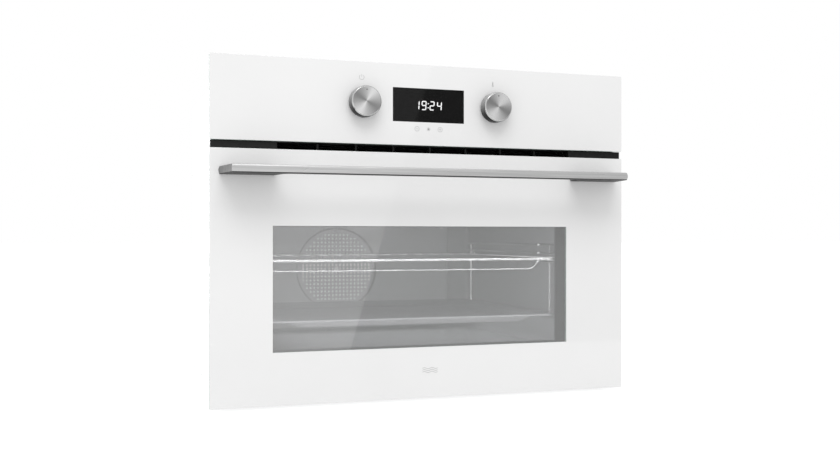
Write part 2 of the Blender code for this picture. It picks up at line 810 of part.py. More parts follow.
def make_lamp():
    """The lamp socket outside the left wall, and the glass lens that shows inside."""
    outside = place(-CAVITY_HALF - CAVITY_WALL - GAP, LAMP_DEPTH, LAMP_Z)
    seat, flange, neck = 0.020, 0.025, 0.014
    seat_rise, flange_rise, height = 0.004, 0.012, 0.0195
    holder = [(0, seat_rise), (seat, seat_rise), (seat, 0), (flange, 0), (flange, flange_rise),
              (neck, height), (0, height)]
    turned("lamp_holder", holder, outside, (-1, 0, 0), steel(), 24)
    glass, dome = 0.0215, 0.0128
    lens = [(0, 0), (glass, 0), (glass, 0.31 * dome), (0.79 * glass, 0.70 * dome),
            (0.42 * glass, 0.92 * dome), (0, dome)]
    turned("lamp_lens", lens, outside + Vector((GAP, 0, 0)), (1, 0, 0), clear_glass(), 24)


def make_temperature_probe():
    radius, length = 0.002, 0.095
    turned("temperature_probe", rod_profile(radius, length), place(PROBE_X, LEAD_END - length, PROBE_Z),
           (0, 1, 0), steel(), 10)


# ---------------------------------------------------------------- racks

def make_side_racks():
    """The ladders of rungs on the side walls, which the shelf and tray slide on."""
    rung_depth = (0.062, 0.427)
    upright_depths = (0.090, 0.413)
    reach = (RACK_HEIGHTS[0] - RUNG / 2, RACK_HEIGHTS[-1] + RUNG / 2)
    radius = RUNG / 2
    rung_outer = RUNG_INNER + RUNG
    upright_outer = rung_outer + RUNG
    stud_height = (0.162, 0.166)
    catch_depth = (0.076, upright_depths[0])
    catch_height = (0.158, 0.162)
    for side_name, side in both_sides():
        boxes = []
        for depth in upright_depths:
            boxes.append(((rung_outer, upright_outer), (depth - radius, depth + radius), reach))
            boxes.append(((upright_outer, CAVITY_HALF - GAP), (depth - radius, depth + radius),
                          stud_height))
        boxes.append(((rung_outer, upright_outer), catch_depth, catch_height))
        for height in RACK_HEIGHTS:
            boxes.append(((RUNG_INNER, rung_outer), rung_depth, (height - radius, height + radius)))
        block("side_rack_" + side_name, [mirrored(box, side) for box in boxes], chrome_wire())


def make_wire_shelf():
    """The grid shelf, in its rungs, with the thin guard wire under its front edge."""
    low = SHELF_RUNG + RUNG / 2 + GAP
    high = low + 0.004
    near, rear = 0.0525, 0.4265
    bar = 0.005
    wire = 0.0028
    wires = 14
    pitch = 2 * SHELF_HALF / (wires + 1)
    height = (low, high)
    boxes = [((-SHELF_HALF, SHELF_HALF), (near, near + bar), height),
             ((-SHELF_HALF, SHELF_HALF), (rear - bar, rear), height),
             ((-SHELF_HALF, -SHELF_HALF + bar), (near, rear), height),
             ((SHELF_HALF - bar, SHELF_HALF), (near, rear), height)]
    for index in range(wires):
        centre = -SHELF_HALF + (index + 1) * pitch
        boxes.append(((centre - wire / 2, centre + wire / 2), (near, rear), height))
    guard_half = 0.182
    guard_low = low - 0.0133
    guard = (guard_low, guard_low + wire)
    boxes.append(((-guard_half, guard_half), (near, near + wire), guard))
    for _, side in both_sides():
        boxes.append(mirrored(((guard_half - wire, guard_half), (near, near + wire),
                               (guard[0], high)), side))
    block("wire_shelf", boxes, chrome_wire())


def nested_rings(name, rings, finish):
    """One closed body through rectangular rings of (half width, near, rear, height)."""
    builder = bmesh.new()
    loops = []
    for half, near, rear, height in rings:
        corners = ((-half, near), (half, near), (half, rear), (-half, rear))
        loops.append([builder.verts.new(place(x, depth, height)) for x, depth in corners])
    for lower, upper in zip(loops, loops[1:]):
        for index in range(4):
            after = (index + 1) % 4
            builder.faces.new((lower[index], lower[after], upper[after], upper[index]))
    builder.faces.new(loops[0])
    builder.faces.new(loops[-1])
    _, near, rear, height = rings[0]
    return add_mesh(name, builder, finish, place(0, (near + rear) / 2, height))


def make_baking_tray():
    """A shallow pan with sloping walls, hung from a wide flat rim."""
    rim_low = TRAY_RUNG + RUNG / 2 + GAP
    sheet = 0.0015
    floor = rim_low - 0.0095
    foot_x, well_x = 0.156, 0.179
    near, rear = 0.055, 0.4300
    foot = (near + 0.020, rear - 0.020)
    well = (near + 0.009, rear - 0.009)
    rings = [(foot_x, *foot, floor),
             (well_x, *well, rim_low),
             (SHELF_HALF, near, rear, rim_low),
             (SHELF_HALF, near, rear, rim_low + sheet),
             (well_x, *well, rim_low + sheet),
             (foot_x, *foot, floor + sheet)]
    nested_rings("baking_tray", rings, enamel())


# ---------------------------------------------------------------- door

def make_door_glasses(pivot):
    outer = block("door_outer_glass",
                  [((-FRONT_HALF, FRONT_HALF), (0, PANE), (DOOR_BOTTOM, DOOR_TOP))],
                  white_glass(), parent=pivot)
    screw_hole = 0.003
    for number, (_, side) in enumerate(both_sides()):
        centre = place(side * HANDLE_SCREW_X, PANE / 2, HANDLE_LOW + HANDLE_THICK / 2)
        round_hole(outer, number, centre, (0, 1, 0), screw_hole, steps=12)
    middle_half = 0.252
    middle = ((-middle_half, middle_half), (0.0200, 0.0232), (0.0235, 0.3255))
    block("door_middle_glass", [middle], clear_glass(), parent=pivot)
    inner_half = 0.2543
    inner = ((-inner_half, inner_half), (DOOR_REAR - 0.0037, DOOR_REAR),
             (PROFILE_LOW, PROFILE_HIGH))
    block("door_inner_glass", [inner], clear_glass(), parent=pivot)


def make_door_side_profiles(pivot):
    """The channels at the door's sides, which hold the panes and house the hinge arms."""
    front = PANE + GAP
    height = (PROFILE_LOW, PROFILE_HIGH)
    web = FRAME_OUTER - PROFILE
    rear_lip = 0.2546
    spacer_rear = 0.0197
    slot_top = 0.049
    for side_name, side in both_sides():
        boxes = [((web, FRAME_OUTER), (front, DOOR_REAR), height),
                 ((PROFILE_INNER, web), (front, front + PROFILE), height),
                 ((PROFILE_INNER, PROFILE_INNER + PROFILE), (front, spacer_rear), height),
                 ((rear_lip, web), (DOOR_REAR - PROFILE, DOOR_REAR), (slot_top, height[1]))]
        block("door_side_profile_" + side_name, [mirrored(box, side) for box in boxes], steel(),
              parent=pivot)


def make_door_cross_profiles(pivot):
    """The top and bottom members of the door, with the slots that let air between the panes."""
    front = PANE + GAP
    lip_half = PROFILE_INNER - GAP
    top = PROFILE_HIGH + GAP
    top_lip = 0.010
    slots, slot_pitch, slot_half = 8, 0.055, 0.020
    slot_depths = ((0.010, 0.016), (0.027, 0.033))
    top_boxes = [((-FRAME_OUTER, FRAME_OUTER), (front, DOOR_REAR), (top, top + PROFILE)),
                 ((-lip_half, lip_half), (front, front + PROFILE), (top - top_lip, top))]
    cuts = []
    for index in range(slots):
        centre = (index - (slots - 1) / 2) * slot_pitch
        for depth in slot_depths:
            cuts.append(((centre - slot_half, centre + slot_half), depth, (top, top + PROFILE)))
    block("door_top_profile", top_boxes, steel(), cuts, parent=pivot)
    bottom = PROFILE_LOW - GAP - PROFILE
    bottom_half = HINGE_PIN_START - 2 * GAP
    bottom_lip = 0.014
    bottom_boxes = [((-bottom_half, bottom_half), (front, DOOR_REAR), (bottom, bottom + PROFILE)),
                    ((-lip_half, lip_half), (front, front + PROFILE), (bottom, bottom + bottom_lip))]
    block("door_bottom_profile", bottom_boxes, steel(), parent=pivot)


def make_door_handle(pivot):
    """A flat bar with mitred ends on two wide feet, as one piece."""
    door = -GAP
    back_of_bar = HANDLE_BAR - HANDLE_REACH
    foot_inner = HANDLE_HALF - HANDLE_FOOT
    foot_slant = 0.004
    foot_fillet = 0.008
    screw_bore, bore_length = 0.0023, 0.044
    ends = [(HANDLE_HALF, door), (HANDLE_HALF - HANDLE_MITRE, -HANDLE_REACH)]
    inner = [(foot_inner, door),
             (foot_inner - foot_slant, back_of_bar + foot_fillet),
             (foot_inner - foot_slant - foot_fillet, back_of_bar)]
    outline = ends + [(-x, depth) for x, depth in reversed(ends)]
    outline += [(-x, depth) for x, depth in inner]
    outline += list(reversed(inner))
    handle = prism("door_handle", outline, "z", HANDLE_LOW, HANDLE_LOW + HANDLE_THICK,
                   handle_metal(), pivot)
    for number, (_, side) in enumerate(both_sides()):
        centre = place(side * HANDLE_SCREW_X, 0, HANDLE_LOW + HANDLE_THICK / 2)
        round_hole(handle, number, centre, (0, 1, 0), screw_bore, bore_length, 12)


def make_handle_screws(pivot):
    """Pan-head screws from inside the door, through the glass and into the handle's feet."""
    head_height = 0.0035
    head_radius, stem_radius, length = 0.0055, 0.0020, 0.028
    profile = [(0, 0), (head_radius - 0.0005, 0), (head_radius, 0.0012),
               (head_radius, head_height), (stem_radius, head_height), (stem_radius, length),
               (0, length)]
    head = PANE + GAP + head_height
    for side_name, side in both_sides():
        start = place(side * HANDLE_SCREW_X, head, HANDLE_LOW + HANDLE_THICK / 2)
        turned("handle_screw_" + side_name, profile, start, (0, -1, 0), steel(), 16, pivot)


def hinge_nose():
    """Half a circle round the hinge axis, from below it, by the front, to above it."""
    points = []
    for index in range(9):
        angle = -math.pi / 2 - math.pi * index / 8
        points.append((PIVOT_DEPTH + HINGE_NOSE * math.cos(angle),
                       PIVOT_HEIGHT + HINGE_NOSE * math.sin(angle)))
    return points


def make_hinge_arms(pivot):
    """The hinge arms, which rise from the hinge axis inside the door's side profiles."""
    nose_angles = [math.pi + math.pi * index / 8 for index in range(9)]
    outline = [(PIVOT_DEPTH + HINGE_NOSE * math.cos(angle),
                PIVOT_HEIGHT + HINGE_NOSE * math.sin(angle)) for angle in nose_angles]
    blade_rear, blade_low, blade_high = 0.034, 0.045, 0.150
    outline += [(blade_rear, blade_low), (blade_rear, blade_high),
                (PIVOT_DEPTH - HINGE_NOSE, blade_high)]
    middle = sum(HINGE_ARM) / 2
    for side_name, side in both_sides():
        low, high = sorted(side * x for x in HINGE_ARM)
        arm = prism("hinge_arm_" + side_name, outline, "x", low, high, steel(), pivot)
        centre = place(side * middle, PIVOT_DEPTH, PIVOT_HEIGHT)
        round_hole(arm, 1, centre, (1, 0, 0), SHAFT_RADIUS + GAP)


def make_hinge_bodies():
    """The hinge channels in the chassis, whose tongues reach forward to the hinge axis."""
    left, right = HINGE_CHANNEL
    near, rear = CASE_FRONT + GAP, HINGE_CHANNEL_REAR
    low, high = 0.0015, HINGE_CHANNEL_HIGH
    wall = PROFILE
    tongue_low = low + wall / 3
    tongue_rear = rear - wall / 2
    outline = hinge_nose()
    outline += [(tongue_rear, PIVOT_HEIGHT + HINGE_NOSE), (tongue_rear, tongue_low),
                (near, tongue_low), (near, PIVOT_HEIGHT - HINGE_NOSE)]
    middle = sum(HINGE_TONGUE) / 2
    for side_name, side in both_sides():
        boxes = [(HINGE_CHANNEL, (near, rear), (low, low + wall)),
                 ((left, left + wall), (near, rear), (low, high)),
                 ((right - wall, right), (near, rear), (low, high)),
                 (HINGE_CHANNEL, (rear - wall, rear), (low, high))]
        body = block("hinge_body_" + side_name, [mirrored(box, side) for box in boxes], steel())
        tongue_ends = sorted(side * x for x in HINGE_TONGUE)
        tongue = prism("hinge_tongue_tool_" + side_name, outline, "x", *tongue_ends, None)
        combine(body, tongue, "UNION")
        centre = place(side * middle, PIVOT_DEPTH, PIVOT_HEIGHT)
        round_hole(body, 1, centre, (1, 0, 0), SHAFT_RADIUS + GAP)


def make_hinge_pins():
    """Riveted pins that join each arm to its tongue."""
    head = SHAFT_RADIUS + 0.0015
    head_height, grip_end, length = 0.0015, 0.0092, 0.0107
    profile = [(0, 0), (head, 0), (head, head_height), (SHAFT_RADIUS, head_height),
               (SHAFT_RADIUS, grip_end), (head, grip_end), (head, length), (0, length)]
    for side_name, side in both_sides():
        start = place(side * HINGE_PIN_START, PIVOT_DEPTH, PIVOT_HEIGHT)
        turned("hinge_pin_" + side_name, profile, start, (side, 0, 0), steel(), 16)


def make_hinge_springs():
    """The tension springs that balance the door."""
    near, rear = 0.062, 0.138
    centre_x, centre_z = sum(HINGE_CHANNEL) / 2, 0.034
    turns, steps_per_turn = 8, 10
    coil_radius, wire_radius = 0.0048, 0.0011
    steps = turns * steps_per_turn
    for side_name, side in both_sides():
        points = []
        for index in range(steps + 1):
            angle = math.tau * index / steps_per_turn
            depth = near + (rear - near) * index / steps
            points.append(place(side * centre_x + coil_radius * math.cos(angle), depth,
                                centre_z + coil_radius * math.sin(angle)))
        tube("hinge_spring_" + side_name, points, wire_radius, steel())


def main():
    clear_scene()
    make_base_plate()
    make_side_panels()
    make_rear_panel()
    make_top_cover()
    make_rear_cover()
    make_front_frame()
    make_side_trims()
    make_vent_trim()
    make_control_glass()
    make_panel_carrier()
    make_display_module()
    make_controls()
    make_power_board()
    make_terminal_box()
    make_air_duct()
    make_blower_housing()
    make_blower_impeller()
    make_blower_motor()
    make_cavity()
    make_door_gasket()
    make_insulation()
    make_fan_cover()
    make_convection_fan()
    make_fan_motor()
    make_ring_element()
    make_grill_element()
    make_bottom_element()
    make_lamp()
    make_temperature_probe()
    make_side_racks()
    make_wire_shelf()
    make_baking_tray()
    door = pivot_empty("door_axis", place(0, PIVOT_DEPTH, PIVOT_HEIGHT))
    make_door_glasses(door)
    make_door_side_profiles(door)
    make_door_cross_profiles(door)
    make_door_handle(door)
    make_handle_screws(door)
    make_hinge_arms(door)
    make_hinge_bodies()
    make_hinge_pins()
    make_hinge_springs()


main()
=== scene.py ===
"""Looks of the built-in wall oven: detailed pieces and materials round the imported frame.

Metres, +Z up, in the CAD part's own frame: +X is the user's right, and the front faces -Y.
"""
import math
from functools import cache

import bmesh
import bpy
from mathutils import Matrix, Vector


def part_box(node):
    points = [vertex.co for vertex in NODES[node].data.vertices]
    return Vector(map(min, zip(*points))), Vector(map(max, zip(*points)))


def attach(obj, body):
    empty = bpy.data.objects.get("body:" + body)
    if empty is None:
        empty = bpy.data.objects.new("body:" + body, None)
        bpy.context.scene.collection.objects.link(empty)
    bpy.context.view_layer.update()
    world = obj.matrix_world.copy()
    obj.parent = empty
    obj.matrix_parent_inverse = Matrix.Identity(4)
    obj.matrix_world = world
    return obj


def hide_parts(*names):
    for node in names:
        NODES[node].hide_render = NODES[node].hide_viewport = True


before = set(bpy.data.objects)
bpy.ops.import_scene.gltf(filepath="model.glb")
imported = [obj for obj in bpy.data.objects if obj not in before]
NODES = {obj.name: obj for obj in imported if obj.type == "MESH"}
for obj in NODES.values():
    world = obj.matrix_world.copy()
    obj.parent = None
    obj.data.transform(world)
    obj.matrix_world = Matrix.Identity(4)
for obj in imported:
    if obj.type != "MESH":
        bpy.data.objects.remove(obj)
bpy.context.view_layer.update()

# Camera
CAMERA_PLACE = Vector((-0.4469, -1.5161, 0.2241))
CAMERA_TURN = math.radians(18.82)
CAMERA_LENS = 42.13

# Front, from the frame
DOOR_LOW, DOOR_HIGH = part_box("door_outer_glass")
PANEL_LOW, PANEL_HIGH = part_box("control_panel_glass")
VENT_LOW, VENT_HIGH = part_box("vent_trim")
HANDLE_LOW, HANDLE_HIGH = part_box("door_handle")
INNER_LOW, INNER_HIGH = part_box("door_inner_glass")
KNOB_LOW, KNOB_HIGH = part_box("temperature_knob")
KNOB_X = (KNOB_LOW.x + KNOB_HIGH.x) / 2
KNOB_Z = (KNOB_LOW.z + KNOB_HIGH.z) / 2
DISPLAY_LOW = (-0.0533, KNOB_Z - 0.0235)
DISPLAY_HIGH = (0.0497, KNOB_Z + 0.0226)
FACE = DOOR_LOW.y
LIT_LAYER = (PANEL_HIGH.y + 0.00005, PANEL_HIGH.y + 0.00005 + 0.0002)
PRINT_LAYER = (FACE - 0.00006, FACE - 0.00001)
GLASS_CORNER = 0.0016
GLASS_ARRIS = 0.0005
GLASS_SEAM = 0.00003

# The clear window in the door glass, and the printed opening behind it in the inner pane
WINDOW_LEFT = DOOR_LOW.x + 0.0812
WINDOW_RIGHT = DOOR_HIGH.x - 0.0902
WINDOW_LOW = DOOR_LOW.z + 0.0695
WINDOW_HIGH = DOOR_LOW.z + 0.2345
INNER_WINDOW_HALF = 0.2096
INNER_WINDOW_LOW = WINDOW_LOW - 0.0012
INNER_WINDOW_HIGH = WINDOW_HIGH - 0.0006

# Cavity, from the frame
CAVITY_LOW, CAVITY_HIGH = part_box("cavity")
CAVITY_WALL = 0.0015
CAVITY_CORNER = 0.014
COVER_LOW, COVER_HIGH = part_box("fan_cover")
FAN = (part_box("fan_motor")[0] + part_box("fan_motor")[1]) / 2
SHELF_LOW, SHELF_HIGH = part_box("wire_shelf")
TRAY_LOW, TRAY_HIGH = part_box("baking_tray")
RACK_LOW, RACK_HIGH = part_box("side_rack_right")
LOW_RUNG = TRAY_LOW.z + 0.0072


# ---------------- outlines and meshes

def arc(centre, radius, start, end, steps):
    """Points along an arc, its angles in degrees."""
    points = []
    for index in range(steps + 1):
        angle = math.radians(start + (end - start) * index / steps)
        points.append((centre[0] + radius * math.cos(angle), centre[1] + radius * math.sin(angle)))
    return points


def circle(centre, radius, steps):
    return arc(centre, radius, 0, 360, steps)[:-1]


def rounded_rect(low, high, radius, steps=4):
    """A rectangle with round corners, anticlockwise."""
    left, bottom = low
    right, top = high
    points = arc((right - radius, bottom + radius), radius, -90, 0, steps)
    points += arc((right - radius, top - radius), radius, 0, 90, steps)
    points += arc((left + radius, top - radius), radius, 90, 180, steps)
    points += arc((left + radius, bottom + radius), radius, 180, 270, steps)
    return points


def rect(low, high):
    return [(low[0], low[1]), (high[0], low[1]), (high[0], high[1]), (low[0], high[1])]


def shrunk(low, high, margin):
    """A rectangle's two corners, moved inwards."""
    return (low[0] + margin, low[1] + margin), (high[0] - margin, high[1] - margin)


def spot(axis, first, second, along):
    """A point from its coordinate along one axis and its other two, in x, y, z order."""
    if axis == "x":
        return (along, first, second)
    if axis == "y":
        return (first, along, second)
    return (first, second, along)


def add_loop(builder, loop, axis, along):
    return [builder.verts.new(spot(axis, *point, along)) for point in loop]


def rim_edges(builder, ring):
    """The edges round a ring of vertices, made where they don't exist yet."""
    pairs = zip(ring, ring[1:] + ring[:1])
    return [builder.edges.get(pair) or builder.edges.new(pair) for pair in pairs]


def add_walls(builder, rings, coat=0):
    """Join rings of equal length, one after the other."""
    for lower, upper in zip(rings, rings[1:]):
        for index in range(len(lower)):
            after = (index + 1) % len(lower)
            corners = (lower[index], lower[after], upper[after], upper[index])
            builder.faces.new(corners).material_index = coat


def add_cap(builder, rings, coat=0):
    """Fill a flat ring, less the rings inside it, and return the new faces."""
    edges = [edge for ring in rings for edge in rim_edges(builder, ring)]
    made = bmesh.ops.triangle_fill(builder, use_beauty=True, edges=edges)
    faces = [item for item in made["geom"] if isinstance(item, bmesh.types.BMFace)]
    for face in faces:
        face.material_index = coat
    return faces


def add_plate(builder, outline, near, far, axis="y", holes=(), coat=0):
    """A flat plate with holes through it."""
    fronts = [add_loop(builder, loop, axis, near) for loop in [outline, *holes]]
    backs = [add_loop(builder, loop, axis, far) for loop in [outline, *holes]]
    for front, back in zip(fronts, backs):
        add_walls(builder, [front, back], coat)
    add_cap(builder, fronts, coat)
    add_cap(builder, backs, coat)


def add_slab(builder, low, high, corner, near, far, arris, holes=()):
    """A round-cornered upright plate with holes, whose outer edges are rounded too. Its two faces
    stay flat, because the seams round them are sharp."""
    steps = 3
    levels = []
    for index in range(steps + 1):
        angle = math.pi / 2 * index / steps
        levels.append((arris * (1 - math.sin(angle)), near + arris * (1 - math.cos(angle))))
    levels += [(cut, far - (y - near)) for cut, y in reversed(levels)]
    rings = []
    for cut, y in levels:
        loop = rounded_rect(*shrunk(low, high, cut), corner - cut)
        rings.append(add_loop(builder, loop, "y", y))
    add_walls(builder, rings)
    fronts = [add_loop(builder, hole, "y", near) for hole in holes]
    backs = [add_loop(builder, hole, "y", far) for hole in holes]
    for front, back in zip(fronts, backs):
        add_walls(builder, [front, back])
    add_cap(builder, [rings[0], *fronts])
    add_cap(builder, [rings[-1], *backs])
    for edge in rim_edges(builder, rings[0]) + rim_edges(builder, rings[-1]):
        edge.smooth = False


def add_box(builder, low, high, coat=0):
    add_plate(builder, rect((low[0], low[2]), (high[0], high[2])), low[1], high[1], coat=coat)


def add_lathe(builder, profile, start, direction, steps=32, coat=0):
    """Spin a (radius, height) profile that starts and ends on its axis."""
    turn = Vector((0, 0, 1)).rotation_difference(Vector(direction)).to_matrix()
    start = Vector(start)
    rings = []
    for radius, height in profile:
        if radius == 0:
            rings.append([builder.verts.new(start + turn @ Vector((0, 0, height)))])
            continue
        loop = circle((0, 0), radius, steps)
        rings.append([builder.verts.new(start + turn @ Vector((a, b, height))) for a, b in loop])
    for lower, upper in zip(rings, rings[1:]):
        if len(lower) == len(upper):
            add_walls(builder, [lower, upper], coat)
            continue
        ring, tip = (upper, lower[0]) if len(lower) == 1 else (lower, upper[0])
        for index in range(steps):
            builder.faces.new((ring[index], ring[(index + 1) % steps], tip)).material_index = coat


def add_tube(builder, points, radius, sides=10, closed=False, coat=0, flat=None, up=None):
    """A rod along a path; flat is its half height across up, where it isn't round."""
    points = [Vector(point) for point in points]
    count = len(points)
    side = up
    rings = []
    for index, point in enumerate(points):
        before = points[index - 1] if closed or index else point
        after = points[(index + 1) % count] if closed or index < count - 1 else point
        direction = (after - before).normalized()
        side = direction.orthogonal() if side is None else side
        side = (side - direction * side.dot(direction)).normalized()
        other = direction.cross(side)
        ring = []
        for a, b in circle((0, 0), 1, sides):
            ring.append(builder.verts.new(point + radius * a * side + (flat or radius) * b * other))
        rings.append(ring)
    add_walls(builder, rings + rings[:1] if closed else rings, coat)
    if not closed:
        builder.faces.new(rings[0]).material_index = coat
        builder.faces.new(rings[-1]).material_index = coat


def bent(points, radius, steps=5):
    """The path through the points with each corner rounded off."""
    points = [Vector(point) for point in points]
    count = len(points)
    made = []
    for index, corner in enumerate(points):
        if index in (0, count - 1):
            made.append(corner)
            continue
        back = points[index - 1] - corner
        ahead = points[index + 1] - corner
        reach = min(radius, back.length * 0.49, ahead.length * 0.49)
        start = corner + back.normalized() * reach
        end = corner + ahead.normalized() * reach
        for step in range(steps + 1):
            t = step / steps
            made.append((1 - t) ** 2 * start + 2 * t * (1 - t) * corner + t ** 2 * end)
    return made


def inset(points, distance):
    """An anticlockwise polygon moved inwards, its corners kept."""
    made = []
    for index, point in enumerate(points):
        point = Vector(point)
        back = (point - Vector(points[index - 1])).normalized()
        ahead = (Vector(points[(index + 1) % len(points)]) - point).normalized()
        first, second = Vector((-back.y, back.x)), Vector((-ahead.y, ahead.x))
        made.append(tuple(point + distance * (first + second) / (1 + first.dot(second))))
    return made


def mesh_object(name, builder, finishes):
    """A new object in the scene from a builder's mesh."""
    mesh = bpy.data.meshes.new(name)
    builder.to_mesh(mesh)
    builder.free()
    for coat in finishes:
        mesh.materials.append(coat)
    made = bpy.data.objects.new(name, mesh)
    bpy.context.scene.collection.objects.link(made)
    return made


def piece(name, builder, finishes, body, stands_for=(), smooth=35):
    """Turn a mesh into a piece that rides on a body and may stand for CAD nodes."""
    bmesh.ops.recalc_face_normals(builder, faces=builder.faces)
    for face in builder.faces:
        face.smooth = True
    for edge in builder.edges:
        if edge.calc_face_angle(0.0) > math.radians(smooth):
            edge.smooth = False
    made = mesh_object(name, builder, finishes)
    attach(made, body)
    if stands_for:
        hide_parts(*stands_for)
    return made


def soften(made, width, segments=2):
    """Round an object's sharp edges a little."""
    change = made.modifiers.new("soft_edges", "BEVEL")
    change.width = width
    change.segments = segments
    change.limit_method = "ANGLE"
    change.angle_limit = math.radians(40)
    change.harden_normals = True


def thicken(made, thickness):
    """Turn a surface into sheet metal."""
    change = made.modifiers.new("sheet", "SOLIDIFY")
    change.thickness = thickness
    change.offset = -1.0


# ---------------- materials

def shader(made):
    return made.node_tree.nodes["Principled BSDF"]


def plug(made, node, label, value):
    """Give an input a value, or another node's output."""
    if isinstance(value, bpy.types.NodeSocket):
        made.node_tree.links.new(value, node.inputs[label])
    else:
        node.inputs[label].default_value = value


def new_node(made, kind, **inputs):
    """A shader node, with underscores for the spaces in its inputs' names."""
    node = made.node_tree.nodes.new("ShaderNode" + kind)
    for label, value in inputs.items():
        plug(made, node, label.replace("_", " "), value)
    return node


def finish(name, colour, roughness, metallic=0.0, extra=None, mottle=None, uneven=None, bumps=None):
    """A material. Noise may mottle its colour (scale, two colours), make it unevenly rough (scale,
    two roughnesses) and bump it (scale, depth)."""
    made = bpy.data.materials.new("look_" + name)
    made.use_nodes = True
    values = {"Base Color": (*colour, 1.0), "Roughness": roughness, "Metallic": metallic}
    for label, value in (values | (extra or {})).items():
        plug(made, shader(made), label, value)
    if mottle:
        tint(made, texture(made, mottle[0]), *mottle[1:])
    if uneven:
        vary(made, texture(made, uneven[0]), *uneven[1:])
    if bumps:
        relief(made, texture(made, bumps[0]), bumps[1])
    return made


def texture(made, scale, stretch=(1, 1, 1), kind="Noise", output=0, **values):
    """A noise or cell texture over the object's own metres."""
    where = new_node(made, "TexCoord").outputs["Object"]
    placed = new_node(made, "Mapping", Vector=where, Scale=stretch).outputs["Vector"]
    return new_node(made, "Tex" + kind, Vector=placed, Scale=scale, **values).outputs[output]


def vary(made, pattern, low, high):
    """Make the surface unevenly rough by a pattern."""
    ranged = new_node(made, "MapRange", Value=pattern, From_Min=0.3, From_Max=0.7, To_Min=low, To_Max=high)
    plug(made, shader(made), "Roughness", ranged.outputs["Result"])


def add_ramp(made, value, stops, blend="LINEAR"):
    """Drive the base colour by a ramp of (position, colour) stops."""
    ramp = new_node(made, "ValToRGB", Fac=value)
    ramp.color_ramp.interpolation = blend
    elements = ramp.color_ramp.elements
    while len(elements) < len(stops):
        elements.new(0.5)
    for element, (position, colour) in zip(elements, stops):
        element.position = position
        element.color = (*colour, 1.0)
    plug(made, shader(made), "Base Color", ramp.outputs["Color"])


def tint(made, pattern, first, second, spread=(0.3, 0.7)):
    """Drive the base colour between two colours by a pattern."""
    add_ramp(made, pattern, ((spread[0], first), (spread[1], second)))


def relief(made, pattern, depth):
    """Bump the surface by a pattern, depth metres deep."""
    bump = new_node(made, "Bump", Strength=1.0, Distance=depth, Height=pattern)
    plug(made, shader(made), "Normal", bump.outputs["Normal"])


def grey(value):
    return (value, value, value)


@cache
def white_glass():
    """Clear glass over white enamel print, with the faint waviness of float glass."""
    made = finish("white_glass", grey(0.65), 0.035, extra={"IOR": 1.5},
                  mottle=(9.0, grey(0.643), grey(0.657)))
    relief(made, texture(made, 7.0, (1, 1, 2)), 0.00004)
    return made


@cache
def glass_edge():
    """The ground edge of the panes, where the glass shows its own green."""
    return finish("glass_edge", (0.50, 0.62, 0.57), 0.5, extra={"Specular IOR Level": 0.1},
                  uneven=(900.0, 0.42, 0.58))


@cache
def window_glass():
    """The door's half-mirrored window, which veils the cavity with grey: diffuse grey lit like paint, a
    painted reflection of the bright room where the half-mirror would reflect it.
    """
    return finish("window_glass", grey(0.36), 0.03, 0.30, {"Alpha": 0.5},
                  mottle=(6.0, grey(0.352), grey(0.368)))


@cache
def clear_glass():
    return finish("clear_pane", (0.72, 0.78, 0.76), 0.02, extra={"Alpha": 0.05},
                  uneven=(25.0, 0.01, 0.04))


@cache
def black_print():
    """The black enamel border fired on the inner pane."""
    return finish("black_print", grey(0.006), 0.12, uneven=(400.0, 0.1, 0.2))


@cache
def display_glass():
    return finish("display_glass", grey(0.004), 0.03, uneven=(30.0, 0.02, 0.05),
                  extra={"Alpha": 0.55, "Specular IOR Level": 0.28})


@cache
def lit_digit():
    return finish("lit_digit", grey(0.9), 0.5, mottle=(500.0, grey(0.86), grey(0.94)),
                  extra={"Emission Color": (1, 1, 1, 1), "Emission Strength": 5.0})


@cache
def print_grey():
    return finish("print_grey", grey(0.36), 0.3, mottle=(800.0, grey(0.34), grey(0.38)))


@cache
def black_plastic():
    """Moulded ABS with a fine spark-eroded grain."""
    return finish("black_plastic", grey(0.012), 0.55, extra={"Specular IOR Level": 0.3},
                  mottle=(300.0, grey(0.010), grey(0.015)), bumps=(2600.0, 0.00002))


@cache
def vent_plastic():
    return finish("vent_plastic", grey(0.012), 0.42, extra={"Specular IOR Level": 0.18},
                  mottle=(300.0, grey(0.010), grey(0.014)), bumps=(2200.0, 0.00002))


@cache
def brushed_aluminium():
    """The handle: brushed along its length and clear anodised."""
    made = finish("brushed_aluminium", grey(0.42), 0.32, 0.35, {"Anisotropic": 0.4})
    lines = texture(made, 900.0, (0.012, 1, 1), Detail=4.0)
    tint(made, lines, grey(0.36), grey(0.48))
    vary(made, texture(made, 60.0, (0.05, 1, 1)), 0.26, 0.38)
    relief(made, lines, 0.00001)
    return made


@cache
def satin_end():
    """The handle's mitred ends and feet, milled across the grain."""
    made = finish("satin_end", grey(0.20), 0.30, 1.0, uneven=(120.0, 0.3, 0.42))
    tint(made, texture(made, 800.0, (1, 1, 0.05)), grey(0.175), grey(0.225))
    return made


# Painted shade: the dark finish of the handle's underside and lowest band stands in for the shadow under the
# bar.
@cache
def underside_painted_shade():
    made = finish("underside_painted_shade", grey(0.030), 0.5, extra={"Specular IOR Level": 0.2})
    tint(made, texture(made, 700.0, (0.03, 1, 1)), grey(0.026), grey(0.036))
    return made


